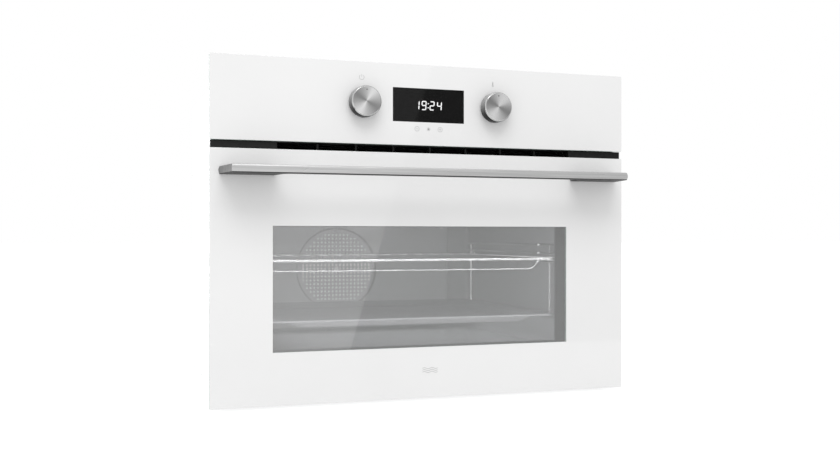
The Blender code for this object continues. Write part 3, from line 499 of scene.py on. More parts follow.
@cache
def spun_metal_painted_fans(x, z, lift):
    """A dial's face about its axis, with two pale and two dark fans painted into its colour by angle:
    painted highlights and painted shade. Lift brightens them all as a further painted highlight."""
    made = finish("spun_metal_painted_fans", grey(0.47), 0.3, 1.0, {"Anisotropic": 0.6}, uneven=(1500.0, 0.27, 0.34))
    place = new_node(made, "TexCoord").outputs["Object"]
    centred = new_node(made, "Mapping", Vector=place, Rotation=(-math.pi / 2, 0, 0), Location=(-x, -z, 0))
    tilt = math.radians(13)
    lean = new_node(made, "Mapping", Vector=centred.outputs["Vector"], Rotation=(0, 0, -tilt))
    turn = new_node(made, "TexGradient", Vector=lean.outputs["Vector"])
    turn.gradient_type = "RADIAL"
    # Painted highlight and painted shade: the fans' greys by angle round the dial's axis
    painted_fan_half_turn = (0.42, 0.58, 0.88, 0.60, 0.46, 0.36, 0.22, 0.31)
    painted_fan_shades = painted_fan_half_turn + painted_fan_half_turn + painted_fan_half_turn[:1]
    stops = [(index / (len(painted_fan_shades) - 1), grey(min(1.0, shade * lift)))
             for index, shade in enumerate(painted_fan_shades)]
    add_ramp(made, turn.outputs["Fac"], stops, "B_SPLINE")
    tangent = new_node(made, "Tangent")
    tangent.direction_type = "RADIAL"
    tangent.axis = "Y"
    plug(made, shader(made), "Tangent", tangent.outputs["Tangent"])
    return made


@cache
def flank_painted_shade():
    """The dial's side: turned metal with painted shade, pale on its upper side and dark below, by the way its
    normal faces.
    """
    made = finish("flank_painted_shade", grey(0.12), 0.24, 1.0, uneven=(250.0, 0.2, 0.3))
    normal = new_node(made, "TexCoord").outputs["Normal"]
    split = new_node(made, "SeparateXYZ", Vector=normal)
    painted_shade_by_normal = new_node(made, "MapRange", Value=split.outputs["Z"], From_Min=-1.0)
    add_ramp(made, painted_shade_by_normal.outputs["Result"], ((0.15, grey(0.012)), (0.80, grey(0.42))), "EASE")
    return made


@cache
def polished_metal():
    return finish("polished_metal", grey(0.52), 0.12, 1.0, uneven=(250.0, 0.09, 0.17))


@cache
def chrome_wire():
    return finish("chrome_wire", (0.70, 0.70, 0.71), 0.14, 1.0, uneven=(180.0, 0.08, 0.18))


@cache
def wire_painted_sheen():
    """Chrome made paler and partly diffuse, a painted sheen on the shelf's front bar and guard and on the
    racks' front uprights, studs, hooks and loops.
    """
    return finish("wire_painted_sheen", (0.86, 0.86, 0.87), 0.2, 0.82, uneven=(180.0, 0.10, 0.20))


@cache
def wire_painted_soft_sheen():
    """Chrome made paler and more diffuse still, a painted sheen that brightens the shelf's frame, the racks'
    rear uprights and the pins.
    """
    return finish("wire_painted_soft_sheen", (0.86, 0.86, 0.87), 0.3, 0.55, uneven=(180.0, 0.24, 0.38))


def speckled(name, colour, roughness, speck, scale, reach, bumps=None):
    """Vitreous enamel with fine pale specks, which fade out at reach from their middles."""
    made = finish(name, colour, roughness, bumps=bumps)
    tint(made, texture(made, scale, kind="Voronoi", Randomness=1.0), speck, colour, (0.10, reach))
    return made


@cache
def cover_enamel():
    """The fan cover's enamel, paler than the cavity's."""
    return speckled("cover_enamel", (0.125, 0.126, 0.130), 0.22, (0.26, 0.27, 0.28), 420.0, 0.16)


@cache
def enamel():
    """The cavity's blue-black enamel."""
    return speckled("cavity_enamel", (0.092, 0.093, 0.097), 0.2, (0.22, 0.23, 0.25), 420.0, 0.16,
                    bumps=(120.0, 0.00012))


@cache
def tray_enamel():
    return speckled("tray_enamel", (0.066, 0.066, 0.069), 0.42, (0.20, 0.20, 0.21), 380.0, 0.18,
                    bumps=(90.0, 0.00012))


@cache
def zinc_sheet():
    """Hot-dip galvanised sheet with its fine crystal spangle."""
    made = finish("zinc_sheet", grey(0.46), 0.38, 0.9, uneven=(40.0, 0.32, 0.46))
    spangle = texture(made, 160.0, kind="Voronoi", output=1)
    tint(made, spangle, (0.43, 0.44, 0.45), (0.50, 0.51, 0.52), (0.1, 0.9))
    return made


@cache
def steel():
    made = finish("brushed_steel", (0.50, 0.50, 0.51), 0.3, 1.0, uneven=(90.0, 0.24, 0.38))
    tint(made, texture(made, 700.0, (1, 1, 0.03)), (0.44, 0.44, 0.45), (0.56, 0.56, 0.57))
    return made


@cache
def heater_steel():
    """A heater's sheath, dull and browned by heat."""
    return finish("heater_steel", (0.16, 0.15, 0.14), 0.42, 0.8, uneven=(300.0, 0.34, 0.5),
                  mottle=(45.0, (0.11, 0.10, 0.095), (0.22, 0.20, 0.18)))


@cache
def silicone():
    return finish("silicone", grey(0.07), 0.62, mottle=(200.0, grey(0.06), grey(0.085)),
                  bumps=(1500.0, 0.00003))


@cache
def mineral_wool():
    made = finish("mineral_wool", (0.60, 0.55, 0.42), 0.95)
    fibres = texture(made, 260.0, (1, 1, 0.2), Detail=6.0)
    tint(made, fibres, (0.50, 0.45, 0.33), (0.72, 0.67, 0.54))
    relief(made, fibres, 0.0012)
    return made


@cache
def circuit_board():
    made = finish("circuit_board", (0.02, 0.13, 0.06), 0.4)
    tint(made, texture(made, 300.0, kind="Voronoi", output=1), (0.015, 0.10, 0.045), (0.03, 0.16, 0.08))
    return made


@cache
def lamp_glass():
    return finish("lamp_glass", (0.86, 0.88, 0.88), 0.12, extra={"Alpha": 0.45}, bumps=(320.0, 0.0002))


@cache
def bare_rim():
    """Punched edges where the enamel is thin and the steel shows."""
    return finish("bare_rim", grey(0.66), 0.34, 0.45, uneven=(900.0, 0.22, 0.4))


@cache
def groove_painted_shade():
    """Painted shade: darker enamel on the wall of the fan cover's round step, where the groove lies in shade.
    """
    return finish("groove_painted_shade", grey(0.04), 0.3, mottle=(90.0, grey(0.03), grey(0.05)))


def carry_over(nodes, coat, edge=0.0):
    """Give CAD nodes that stay their material, and round their sharp edges a little."""
    for name in nodes:
        node = NODES[name]
        for material_slot in node.material_slots:
            material_slot.material = coat
        if edge:
            soften(node, edge)


# ---------------- stage

def make_camera():
    data = bpy.data.cameras.new("camera")
    data.lens = CAMERA_LENS
    data.sensor_width = 36.0
    data.clip_start = 0.01
    camera = bpy.data.objects.new("camera", data)
    camera.location = CAMERA_PLACE
    camera.rotation_euler = (math.pi / 2, 0, -CAMERA_TURN)
    bpy.context.scene.collection.objects.link(camera)
    bpy.context.scene.camera = camera


def stage_object(name, builder, colour, roughness, brightness):
    """A surface of the studio, which shines evenly and belongs to no body."""
    coat = finish(name, colour, roughness, extra={
        "Specular IOR Level": 0.0, "Emission Color": (1, 1, 1, 1), "Emission Strength": brightness})
    made = mesh_object(name, builder, [coat])
    return made


def make_floor():
    half, below = 30.0, 0.0002
    builder = bmesh.new()
    add_cap(builder, [add_loop(builder, rect((-half, -half), (half, half)), "z", -below)])
    stage_object("floor", builder, grey(0.30), 0.9, 0.85)


def add_card(name, corners, brightness):
    """A plain card that is seen only in gloss, as a studio's reflectors and flags are."""
    builder = bmesh.new()
    builder.faces.new([builder.verts.new(corner) for corner in corners])
    made = stage_object(name, builder, grey(0.0), 1.0, brightness)
    made.visible_camera = False
    made.visible_diffuse = False
    made.visible_transmission = False
    made.visible_volume_scatter = False
    made.visible_shadow = False


def make_cards():
    """A grey card whose slanted edge crosses the glass, and two bright ones that whiten the left
    side of the casing."""
    near = FACE - 0.6025
    foot_x, slant = 0.0454, 0.302
    right, top = 1.8, 1.6
    add_card("grey_card", [(foot_x, near, 0.0), (right, near, 0.0), (right, near, top),
                           (foot_x + slant * top, near, top)], 0.45)
    outer_x, inner_x, outer_y, inner_y, top = -1.1, -0.4, 1.9, 2.6, 1.4
    add_card("side_card", [(outer_x, outer_y, 0.0), (inner_x, inner_y, 0.0), (inner_x, inner_y, top),
                           (outer_x, outer_y, top)], 7.0)
    casing_x, rear, lift = -0.2684, 2.0, 0.0005
    add_card("floor_card", [(outer_x, 0.0, lift), (casing_x, 0.0, lift), (casing_x, rear, lift),
                            (outer_x, outer_y, lift)], 2.2)


def add_area_light(name, place, aim, size, power):
    data = bpy.data.lights.new(name, "AREA")
    data.shape = "RECTANGLE"
    data.size, data.size_y = size
    data.energy = power
    light = bpy.data.objects.new(name, data)
    light.location = place
    light.rotation_euler = (Vector(aim) - Vector(place)).to_track_quat("-Z", "Y").to_euler()
    light.visible_camera = False
    bpy.context.scene.collection.objects.link(light)
    return light


def make_lights():
    """White surroundings, a large key light, and small ones for the room light in the cavity."""
    scene = bpy.context.scene
    scene.view_settings.view_transform = "Standard"
    world = bpy.data.worlds.new("world")
    world.use_nodes = True
    sky = world.node_tree.nodes["Background"].inputs
    sky["Color"].default_value = (1, 1, 1, 1)
    sky["Strength"].default_value = 1.0
    scene.world = world
    front = Vector((0, FACE, 0.3))
    add_area_light("key", front + Vector((-0.40, -1.76, 2.40)), front, (2.1, 1.45), 43.0)
    cavity_top = CAVITY_HIGH.z - 0.012
    inside = Vector((0, CAVITY_LOW.y + 0.02, cavity_top))
    add_area_light("cavity_light", inside, (0, CAVITY_HIGH.y, 0.10), (0.40, 0.02), 0.5)
    middle = Vector((0, CAVITY_LOW.y + 0.001, (WINDOW_LOW + WINDOW_HIGH) / 2))
    inward = middle + Vector((0, 1, 0))
    glow = add_area_light("window_glow", middle, inward, (0.42, 0.16), 2.2)
    glow.visible_glossy = False
    sheen = add_area_light("window_sheen", middle, inward, (0.42, 0.16), 0.5)
    sheen.visible_diffuse = False
    under_tray = Vector((0.05, (TRAY_LOW.y + TRAY_HIGH.y) / 2, TRAY_LOW.z - 0.002))
    fill = add_area_light("tray_fill", under_tray, under_tray - Vector((0, 0, 1)), (0.38, 0.34), 1.6)
    fill.visible_glossy = False


# ---------------- door

def make_door_glass():
    """The outer pane in two pieces: the printed border, and the clear window that fills it."""
    low, high = (WINDOW_LEFT, WINDOW_LOW), (WINDOW_RIGHT, WINDOW_HIGH)
    builder = bmesh.new()
    add_slab(builder, DOOR_LOW.xz, DOOR_HIGH.xz, GLASS_CORNER, DOOR_LOW.y, DOOR_HIGH.y, GLASS_ARRIS,
             [rect(low, high)])
    paint_edges(builder, 1)
    piece("door_glass_printed", builder, [white_glass(), glass_edge()], "door",
          ["door_outer_glass"])
    builder = bmesh.new()
    add_plate(builder, rect(*shrunk(low, high, GLASS_SEAM)), DOOR_LOW.y, DOOR_HIGH.y)
    paint_front(builder, DOOR_LOW.y, 0, 1)
    piece("door_glass_window", builder, [window_glass(), clear_glass()], "door")


def paint_edges(builder, coat):
    """Give another finish to the faces that look sideways."""
    builder.normal_update()
    for face in builder.faces:
        if abs(face.normal.y) < 0.5:
            face.material_index = coat


def paint_front(builder, front, front_index, other_index):
    """One finish for the faces in the front plane, and another for the rest."""
    for face in builder.faces:
        in_front = all(abs(vert.co.y - front) < 1e-6 for vert in face.verts)
        face.material_index = front_index if in_front else other_index


def make_inner_panes():
    """The inner pane with its printed border, and the middle pane."""
    step = 0.0001
    opening = rect((-INNER_WINDOW_HALF, INNER_WINDOW_LOW), (INNER_WINDOW_HALF, INNER_WINDOW_HIGH))
    builder = bmesh.new()
    add_slab(builder, INNER_LOW.xz, INNER_HIGH.xz, 0.003, INNER_LOW.y, INNER_HIGH.y, 0.0006, [opening])
    piece("door_inner_border", builder, [black_print()], "door", ["door_inner_glass"])
    builder = bmesh.new()
    add_plate(builder, opening, INNER_LOW.y + step, INNER_HIGH.y - step)
    piece("door_inner_pane", builder, [clear_glass()], "door")
    carry_over(["door_middle_glass"], clear_glass())


def handle_outline():
    """The handle in plan: mitred ends, and feet that curve into the bar."""
    bar = 0.016
    mitre = 0.0095
    foot_inner = HANDLE_HIGH.x - 0.0735
    slant, fillet = 0.004, 0.011
    back = HANDLE_LOW.y + bar
    curve = arc((foot_inner - slant - fillet, back + fillet), fillet, -90, 0, 6)
    right = [(foot_inner, HANDLE_HIGH.y), (HANDLE_HIGH.x, HANDLE_HIGH.y)]
    front = [(HANDLE_HIGH.x - mitre, HANDLE_LOW.y), (-HANDLE_HIGH.x + mitre, HANDLE_LOW.y)]
    left = [(-x, y) for x, y in reversed(right)]
    inner = [(-x, y) for x, y in reversed(curve)] + curve
    return (right + front + left + inner)[::-1]


def make_handle():
    """The handle, slightly crowned, with a soft upper edge and a dark band below, painted shade for the
    shadow under the bar.
    """
    low, high = HANDLE_LOW.z, HANDLE_HIGH.z
    height = high - low
    crown = 0.0012
    upper, lower = 0.0011, 0.0004
    shadow_line = 0.0011
    levels = [(lower, 0.0)]
    levels += [(lower * (1 - math.sin(a)), lower * (1 - math.cos(a)))
               for a in (math.pi / 6, math.pi / 3, math.pi / 2)]
    levels += [(0.0, shadow_line)]
    levels += [(0.0, height * share) for share in (0.2, 0.35, 0.5, 0.65)]
    for index in range(6):
        angle = math.pi / 2 * index / 5
        levels.append((upper * (1 - math.cos(angle)), height - upper * (1 - math.sin(angle))))
    outline = handle_outline()
    builder = bmesh.new()
    rings = []
    for cut, rise in levels:
        share = 2 * rise / height - 1
        loop = inset(outline, cut + crown * share * share)
        rings.append(add_loop(builder, loop, "z", low + rise))
    add_walls(builder, rings)
    builder.normal_update()
    for face in builder.faces:
        # The lowest band and the underside take the painted shade
        if max(vert.co.z for vert in face.verts) < low + 1.05 * shadow_line:
            face.material_index = 1
        elif abs(face.normal.x) > 0.5:
            face.material_index = 2
    add_cap(builder, [rings[0]], 1)
    add_cap(builder, [rings[-1]])
    piece("door_handle_bar", builder, [brushed_aluminium(), underside_painted_shade(), satin_end()], "door",
          ["door_handle"], smooth=30)


# ---------------- control panel

def make_panel_glass():
    """The control panel's glass, with a hole for each dial's shaft and the display's dark window."""
    shaft = 0.005
    holes = [rect(DISPLAY_LOW, DISPLAY_HIGH)]
    holes += [circle((side * KNOB_X, KNOB_Z), shaft, 24) for side in (-1, 1)]
    builder = bmesh.new()
    add_slab(builder, PANEL_LOW.xz, PANEL_HIGH.xz, GLASS_CORNER, PANEL_LOW.y, PANEL_HIGH.y, GLASS_ARRIS,
             holes)
    paint_edges(builder, 1)
    piece("panel_glass_printed", builder, [white_glass(), glass_edge()], "chassis",
          ["control_panel_glass"])
    builder = bmesh.new()
    add_plate(builder, rect(*shrunk(DISPLAY_LOW, DISPLAY_HIGH, GLASS_SEAM)), PANEL_LOW.y, PANEL_HIGH.y)
    piece("panel_glass_display", builder, [display_glass()], "chassis")


def add_segment(builder, centre, half_length, half_width, upright, slant):
    """One bar of a seven-segment digit, leaning to the right as it rises."""
    cut = half_width * 0.9
    points = [(-half_length, 0), (-half_length + cut, -half_width), (half_length - cut, -half_width),
              (half_length, 0), (half_length - cut, half_width), (-half_length + cut, half_width)]
    if upright:
        points = [(-b, a) for a, b in points]
    points = [(centre[0] + a, centre[1] + b) for a, b in points]
    points = [(x + slant * (z - KNOB_Z), z) for x, z in points]
    add_plate(builder, points, *LIT_LAYER)


def make_clock():
    """A clock reading in seven-segment digits behind the display's glass."""
    segments = {"1": "bc", "2": "abged", "4": "fgbc", "9": "abcdfg"}
    half_w, half_h, half_bar = 0.00285, 0.0056, 0.00068
    gap = 0.0001
    slant = 0.06
    bars = {"a": (0, half_h, False), "g": (0, 0, False), "d": (0, -half_h, False),
            "f": (-half_w, half_h / 2, True), "b": (half_w, half_h / 2, True),
            "e": (-half_w, -half_h / 2, True), "c": (half_w, -half_h / 2, True)}
    builder = bmesh.new()
    for digit, middle in (("1", -0.0174), ("9", -0.0073), ("2", 0.0044), ("4", 0.0150)):
        for letter in segments[digit]:
            x, z, upright = bars[letter]
            length = (half_h / 2 if upright else half_w) - gap
            add_segment(builder, (middle + x, KNOB_Z + z), length, half_bar, upright, slant)
    dot_left, dot_right = -0.0020, -0.0004
    for z in (-0.0028, 0.0028):
        dot = rect((dot_left, KNOB_Z + z - half_bar), (dot_right, KNOB_Z + z + half_bar))
        add_plate(builder, dot, *LIT_LAYER)
    piece("clock_digits", builder, [lit_digit()], "chassis")


def make_display_unit():
    """The clock's black lens and the board behind it."""
    low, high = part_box("display_module")
    board_thick = 0.0016
    lens_half_x, lens_half_z = 0.0545, 0.0245
    builder = bmesh.new()
    add_slab(builder, (-lens_half_x, KNOB_Z - lens_half_z), (lens_half_x, KNOB_Z + lens_half_z),
             0.002, low.y, high.y - board_thick, 0.0004)
    add_box(builder, (low.x, high.y - board_thick, low.z), high, 1)
    piece("display_unit", builder, [black_print(), circuit_board()], "chassis",
          ["display_module"])


def print_ring(builder, centre, radius, width):
    hole = circle(centre, radius - width, 32)
    add_plate(builder, circle(centre, radius, 32), *PRINT_LAYER, holes=[hole])


def print_line(builder, start, end, width):
    """A short printed line with square ends."""
    start, end = Vector(start), Vector(end)
    along = (end - start).normalized()
    across = Vector((-along.y, along.x)) * (width / 2)
    loop = [start - across, end - across, end + across, start + across]
    add_plate(builder, loop, *PRINT_LAYER)


def print_arc(builder, centre, radius, width, start, end):
    outer = arc(centre, radius, start, end, 20)
    inner = arc(centre, radius - width, end, start, 20)
    add_plate(builder, outer + inner, *PRINT_LAYER)


def make_panel_icons():
    """Printed marks: power, temperature, and the three touch fields under the display."""
    line = 0.00055
    icon_z = KNOB_Z + 0.0336
    builder = bmesh.new()
    x = -KNOB_X - 0.0023
    print_arc(builder, (x, icon_z), 0.0036, line, 125, 415)
    print_line(builder, (x, icon_z + 0.0004), (x, icon_z + 0.0040), line)
    x, z = KNOB_X - 0.0016, icon_z - 0.0026
    print_arc(builder, (x, z), 0.0014, line, 115, 425)
    for side in (-1, 1):
        wall_x = x + side * 0.0005
        print_line(builder, (wall_x, z + 0.0012), (wall_x, z + 0.0060), line)
    print_line(builder, (x, z), (x, z + 0.0040), line)
    z, pitch = KNOB_Z - 0.0327, 0.0167
    touch_x, radius, dash = -0.0021, 0.0034, 0.0016
    for side in (-1, 1):
        x = touch_x + side * pitch
        print_ring(builder, (x, z), radius, line)
        print_line(builder, (x - dash, z), (x + dash, z), line)
    print_line(builder, (x, z - dash), (x, z + dash), line)
    middle = Vector((touch_x, z))
    for index in range(4):
        angle = math.pi * index / 4
        reach = Vector((math.cos(angle), math.sin(angle))) * radius * 0.85
        print_line(builder, middle - reach, middle + reach, line)
    piece("panel_icons", builder, [print_grey()], "chassis")


def make_door_glyph():
    """Three plain heat waves, printed under the window."""
    low = DOOR_LOW.z + 0.0380
    rise, pitch, width = 0.0026, 0.0026, 0.0007
    half, steps = 0.0110, 28
    builder = bmesh.new()
    for level in (-1, 0, 1):
        upper, lower = [], []
        for index in range(steps + 1):
            x = -half + 2 * half * index / steps
            z = low + level * pitch + rise / 3 * math.sin(math.tau * 2 * index / steps)
            upper.append((x, z + width / 2))
            lower.append((x, z - width / 2))
        add_plate(builder, lower + upper[::-1], *PRINT_LAYER)
    piece("door_glyph", builder, [print_grey()], "door")


def make_dial(name, side, lift):
    """A turned dial: polished chamfer, turned flank with painted shade, and a spun, slightly dished face with
    painted highlight fans.
    """
    radius = (KNOB_HIGH.x - KNOB_LOW.x) / 2
    proud = FACE - KNOB_LOW.y
    centre = Vector((side * KNOB_X, FACE, KNOB_Z))
    foot, mark_share = 0.0005, 0.72
    flank = [(0, foot), (radius - 0.0012, foot), (radius - 0.0012, foot + 0.0012),
             (radius - 0.0003, foot + 0.0014), (radius, foot + 0.0018)]
    chamfer = ((0.0001, 0.0024), (0.0004, 0.0018), (0.0012, 0.0006), (0.0017, 0.0001), (0.0019, 0.0))
    flank += [(radius - cut, proud - drop) for cut, drop in chamfer]
    dish = ((mark_share, 0.0002), (0.4, 0.00038), (0.12, 0.00048), (0, 0.0005))
    face = [(radius * share, proud - drop) for share, drop in dish]
    builder = bmesh.new()
    add_lathe(builder, flank + face, centre, (0, -1, 0), 96)
    for item in builder.faces:
        rise = min(FACE - vert.co.y for vert in item.verts)
        outer = max(math.hypot(v.co.x - centre.x, v.co.z - centre.z) for v in item.verts)
        if rise < proud - 0.0019:
            item.material_index = 2
        elif outer < radius - 0.0018:
            item.material_index = 1
    finishes = [polished_metal(), spun_metal_painted_fans(centre.x, centre.z, lift), flank_painted_shade()]
    piece(name + "_dial_body", builder, finishes, name + "_dial", [name + "_knob"],
          smooth=28)
    mark_radius = 0.0008
    mark = centre + Vector((0, -proud + 0.0002, radius * mark_share))
    builder = bmesh.new()
    add_lathe(builder, [(0, 0), (mark_radius, 0), (mark_radius, 0.00022), (mark_radius * 0.7, 0.00028),
                        (0, 0.00016)], mark, (0, -1, 0), 20)
    piece(name + "_dial_mark", builder, [black_plastic()], name + "_dial")


def make_vent_strip():
    """Plain ends, and between them a dark opening crossed by thin ribs and black louvres, which are also
    painted shade for the duct behind.
    """
    slot_left, slot_right = VENT_LOW.x + 0.0876, VENT_HIGH.x - 0.0835
    ribs, pitch, shift = 7, 0.0527, 0.0036
    rib_half = 0.0013
    rail = 0.0007
    set_back = 0.005
    near = VENT_LOW.y + set_back
    builder = bmesh.new()
    left_end = VENT_LOW.x + 0.0014
    for left, right in ((left_end, slot_left), (slot_right, VENT_HIGH.x)):
        add_slab(builder, (left, VENT_LOW.z), (right, VENT_HIGH.z), 0.0006, VENT_LOW.y, VENT_HIGH.y,
                 0.0004)
    for index in range(ribs):
        x = (index - (ribs - 1) / 2) * pitch + shift
        add_box(builder, (x - rib_half, near, VENT_LOW.z), (x + rib_half, VENT_HIGH.y, VENT_HIGH.z))
    for z in (VENT_LOW.z, VENT_HIGH.z - rail):
        add_box(builder, (slot_left, near, z), (slot_right, VENT_HIGH.y, z + rail), 1)
    # Black blades across the slot, painted shade: they stand in for the shade in the duct behind
    shade_blades = 3
    for index in range(shade_blades):
        z = VENT_LOW.z + (VENT_HIGH.z - VENT_LOW.z) * (index + 0.5) / shade_blades
        outline = [(VENT_LOW.y + 0.007, z - 0.0012), (VENT_LOW.y + 0.0075, z - 0.0012),
                   (VENT_HIGH.y - 0.0003, z + 0.0012), (VENT_HIGH.y - 0.0010, z + 0.0012)]
        add_plate(builder, outline, slot_left, slot_right, "x", coat=1)
    piece("vent_strip", builder, [vent_plastic(), black_plastic()], "chassis",
          ["vent_trim"])


# ---------------- cavity

def make_cavity_shell():
    """The pressed cavity: round corners along its sides and round its back wall."""
    steps = 5
    near, rear = CAVITY_LOW.y, CAVITY_HIGH.y

    def ring(builder, shrink, corner, y):
        loop = rounded_rect(*shrunk(CAVITY_LOW.xz, CAVITY_HIGH.xz, shrink), corner, 6)
        return add_loop(builder, loop, "y", y)

    builder = bmesh.new()
    inner = [ring(builder, CAVITY_WALL, CAVITY_CORNER, near)]
    back_curve = 0.010
    back = rear - CAVITY_WALL
    for index in range(steps + 1):
        angle = math.pi / 2 * index / steps
        inward = back_curve * (1 - math.cos(angle))
        inner.append(ring(builder, CAVITY_WALL + inward, CAVITY_CORNER - inward * 0.8,
                          back - back_curve * (1 - math.sin(angle))))
    outer = [ring(builder, 0.0, CAVITY_CORNER + CAVITY_WALL, near),
             ring(builder, 0.0, CAVITY_CORNER + CAVITY_WALL, rear)]
    add_walls(builder, inner[::-1] + outer)
    add_cap(builder, [inner[-1]])
    add_cap(builder, [outer[-1]])
    piece("cavity_shell", builder, [enamel()], "chassis", ["cavity"])


def make_front_frame():
    """The chassis front plate: a round-cornered mouth, the duct's slot, the wiring's opening and a
    notch for each hinge."""
    low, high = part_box("front_frame")
    duct_low, duct_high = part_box("air_duct")
    slack = 0.0005
    mouth = rounded_rect(*shrunk(CAVITY_LOW.xz, CAVITY_HIGH.xz, CAVITY_WALL), CAVITY_CORNER, 6)
    duct = rect(*shrunk((duct_low.x, VENT_LOW.z), duct_high.xz, -slack))
    wiring_low, wiring_high = (-0.200, PANEL_LOW.z + 0.017), (0.200, PANEL_HIGH.z - 0.0235)
    holes = [mouth, duct, rounded_rect(wiring_low, wiring_high, 0.006)]
    notch_floor = 0.0012
    notch_top = 0.026
    for name in ("hinge_arm_left", "hinge_arm_right"):
        arm_low, arm_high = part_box(name)
        notch_low = (arm_low.x - 3 * slack, low.z + notch_floor)
        holes.append(rect(notch_low, (arm_high.x + 3 * slack, notch_top)))
    builder = bmesh.new()
    add_slab(builder, low.xz, high.xz, 0.003, low.y, high.y, 0.0003, holes)
    piece("front_plate", builder, [zinc_sheet()], "chassis", ["front_frame"])


# Painted sheen on indices 0 and 2: paler, partly diffuse copies of chrome_wire
def wire_finishes():
    return [wire_painted_sheen(), chrome_wire(), wire_painted_soft_sheen()]


def perforation():
    """The centres of the fan cover's punched holes: a square grid within a circle."""
    pitch, reach = 0.0067, 0.0650
    count = int(reach / pitch)
    spots = []
    for row in range(-count, count + 1):
        for column in range(-count, count + 1):
            x, z = column * pitch, row * pitch
            if math.hypot(x, z) <= reach:
                spots.append((FAN.x + x, FAN.z + z))
    return spots


def make_fan_cover():
    """The pressed fan cover: a sunk round field of punched holes with thin bright rims."""
    face = COVER_LOW.y + 0.0002
    sunk = face + 0.003
    thick = 0.0009
    ring_outer, ring_inner = 0.0735, 0.0705
    hole, lip, lip_rise = 0.0017, 0.0013, 0.0006
    edge, skirt_margin, skirt_corner = 0.004, 0.0005, 0.0135
    builder = bmesh.new()
    outlines = []
    for margin, corner, y in ((edge, 0.010, face), (skirt_margin, skirt_corner, face + edge),
                              (skirt_margin, skirt_corner, COVER_HIGH.y - 0.001)):
        loop = rounded_rect(*shrunk(COVER_LOW.xz, COVER_HIGH.xz, margin), corner)
        outlines.append(add_loop(builder, loop, "y", y))
    add_walls(builder, outlines)
    outer_ring = add_loop(builder, circle(FAN.xz, ring_outer, 72), "y", face)
    inner_ring = add_loop(builder, circle(FAN.xz, ring_inner, 72), "y", sunk)
    # The step's wall takes the groove's painted shade
    add_walls(builder, [outer_ring, inner_ring], 2)
    add_cap(builder, [outlines[0], outer_ring])
    rings = []
    for centre in perforation():
        base = add_loop(builder, circle(centre, hole, 10), "y", sunk)
        tip = add_loop(builder, circle(centre, lip, 10), "y", sunk - lip_rise)
        add_walls(builder, [base, tip], 1)
        rings.append(base)
    add_cap(builder, [inner_ring, *rings])
    cover = piece("fan_cover_plate", builder, [cover_enamel(), bare_rim(), groove_painted_shade()], "chassis",
                  ["fan_cover"])
    thicken(cover, thick)
    screws = bmesh.new()
    add_screws(screws, COVER_LOW, COVER_HIGH, 0.014, face, -1, 0.0036)
    piece("fan_cover_screws", screws, [steel()], "chassis")


def add_screw(builder, place, direction, radius, coat=0):
    """A pan head with a round socket."""
    profile = [(0, radius * 0.22), (radius * 0.36, radius * 0.22), (radius * 0.40, radius * 0.60),
               (radius * 0.62, radius * 0.58), (radius * 0.86, radius * 0.42), (radius, radius * 0.16),
               (radius, 0), (0, 0)]
    add_lathe(builder, profile, place, direction, 20, coat)


def add_screws(builder, low, high, margin, y, facing, radius, middle=()):
    """Screws in an upright sheet's corners, and between them where a middle is given."""
    for x in (low.x + margin, *middle, high.x - margin):
        for z in (low.z + margin, high.z - margin):
            add_screw(builder, (x, y, z), (0, facing, 0), radius)


def make_side_rack(name, side):
    """Rungs and two uprights of round wire, held by a stud at each upright, with the small pins,
    hooks and loop that catch it."""
    low, high = RACK_LOW, RACK_HIGH
    wire = 0.002
    rung_x = side * (low.x + wire)
    upright_x = side * (low.x + 3 * wire)
    wall_x = side * (high.x - 0.0002)
    uprights = (low.y + 0.028, high.y - 0.014)
    levels = [level + LOW_RUNG for level in (0.0, 0.0814, 0.0939, 0.1064)]
    builder = bmesh.new()
    for z in levels:
        path = [(upright_x, low.y + 0.001, z), (rung_x, low.y + 0.006, z),
                (rung_x, high.y - 0.006, z), (upright_x, high.y - 0.001, z)]
        add_tube(builder, bent(path, 0.004, 3), wire - 0.0001, 10, coat=1)
    pin_y, pin_half = uprights[0] + 0.027, 0.0032
    for z in levels[1:]:
        pin = [(rung_x - pin_half, pin_y, z), (rung_x + pin_half, pin_y, z)]
        add_tube(builder, pin, 0.0015, 8, coat=2)
    stud_z = low.z + 0.0875
    for y in uprights:
        path = [(upright_x, y, LOW_RUNG - wire), (upright_x, y, high.z - 0.0005)]
        add_tube(builder, path, wire - 0.0005, 10, coat=0 if y == uprights[0] else 2)
        add_tube(builder, [(upright_x, y, stud_z), (wall_x, y, stud_z)], 0.0028, 12)
    hook_z, hook_half, hook_reach, thin = low.z + 0.0865, 0.005, 0.003, 0.0009
    for offset in (-0.020, -0.012, -0.004):
        y = uprights[0] + offset
        path = [(upright_x, y, hook_z - hook_half), (upright_x - side * hook_reach, y, hook_z),
                (upright_x, y, hook_z + hook_half)]
        add_tube(builder, bent(path, 0.003, 4), thin, 8)
    loop_near, loop_rear, loop_top = uprights[1] - 0.016, uprights[1] - 0.006, hook_z + 0.008
    loop = [(upright_x, loop_near, hook_z), (upright_x, loop_near, loop_top),
            (upright_x, loop_rear, loop_top), (upright_x, loop_rear, hook_z)]
    add_tube(builder, bent(loop, 0.004, 5), thin, 8)
    piece(name + "_wires", builder, wire_finishes(), "chassis", [name])


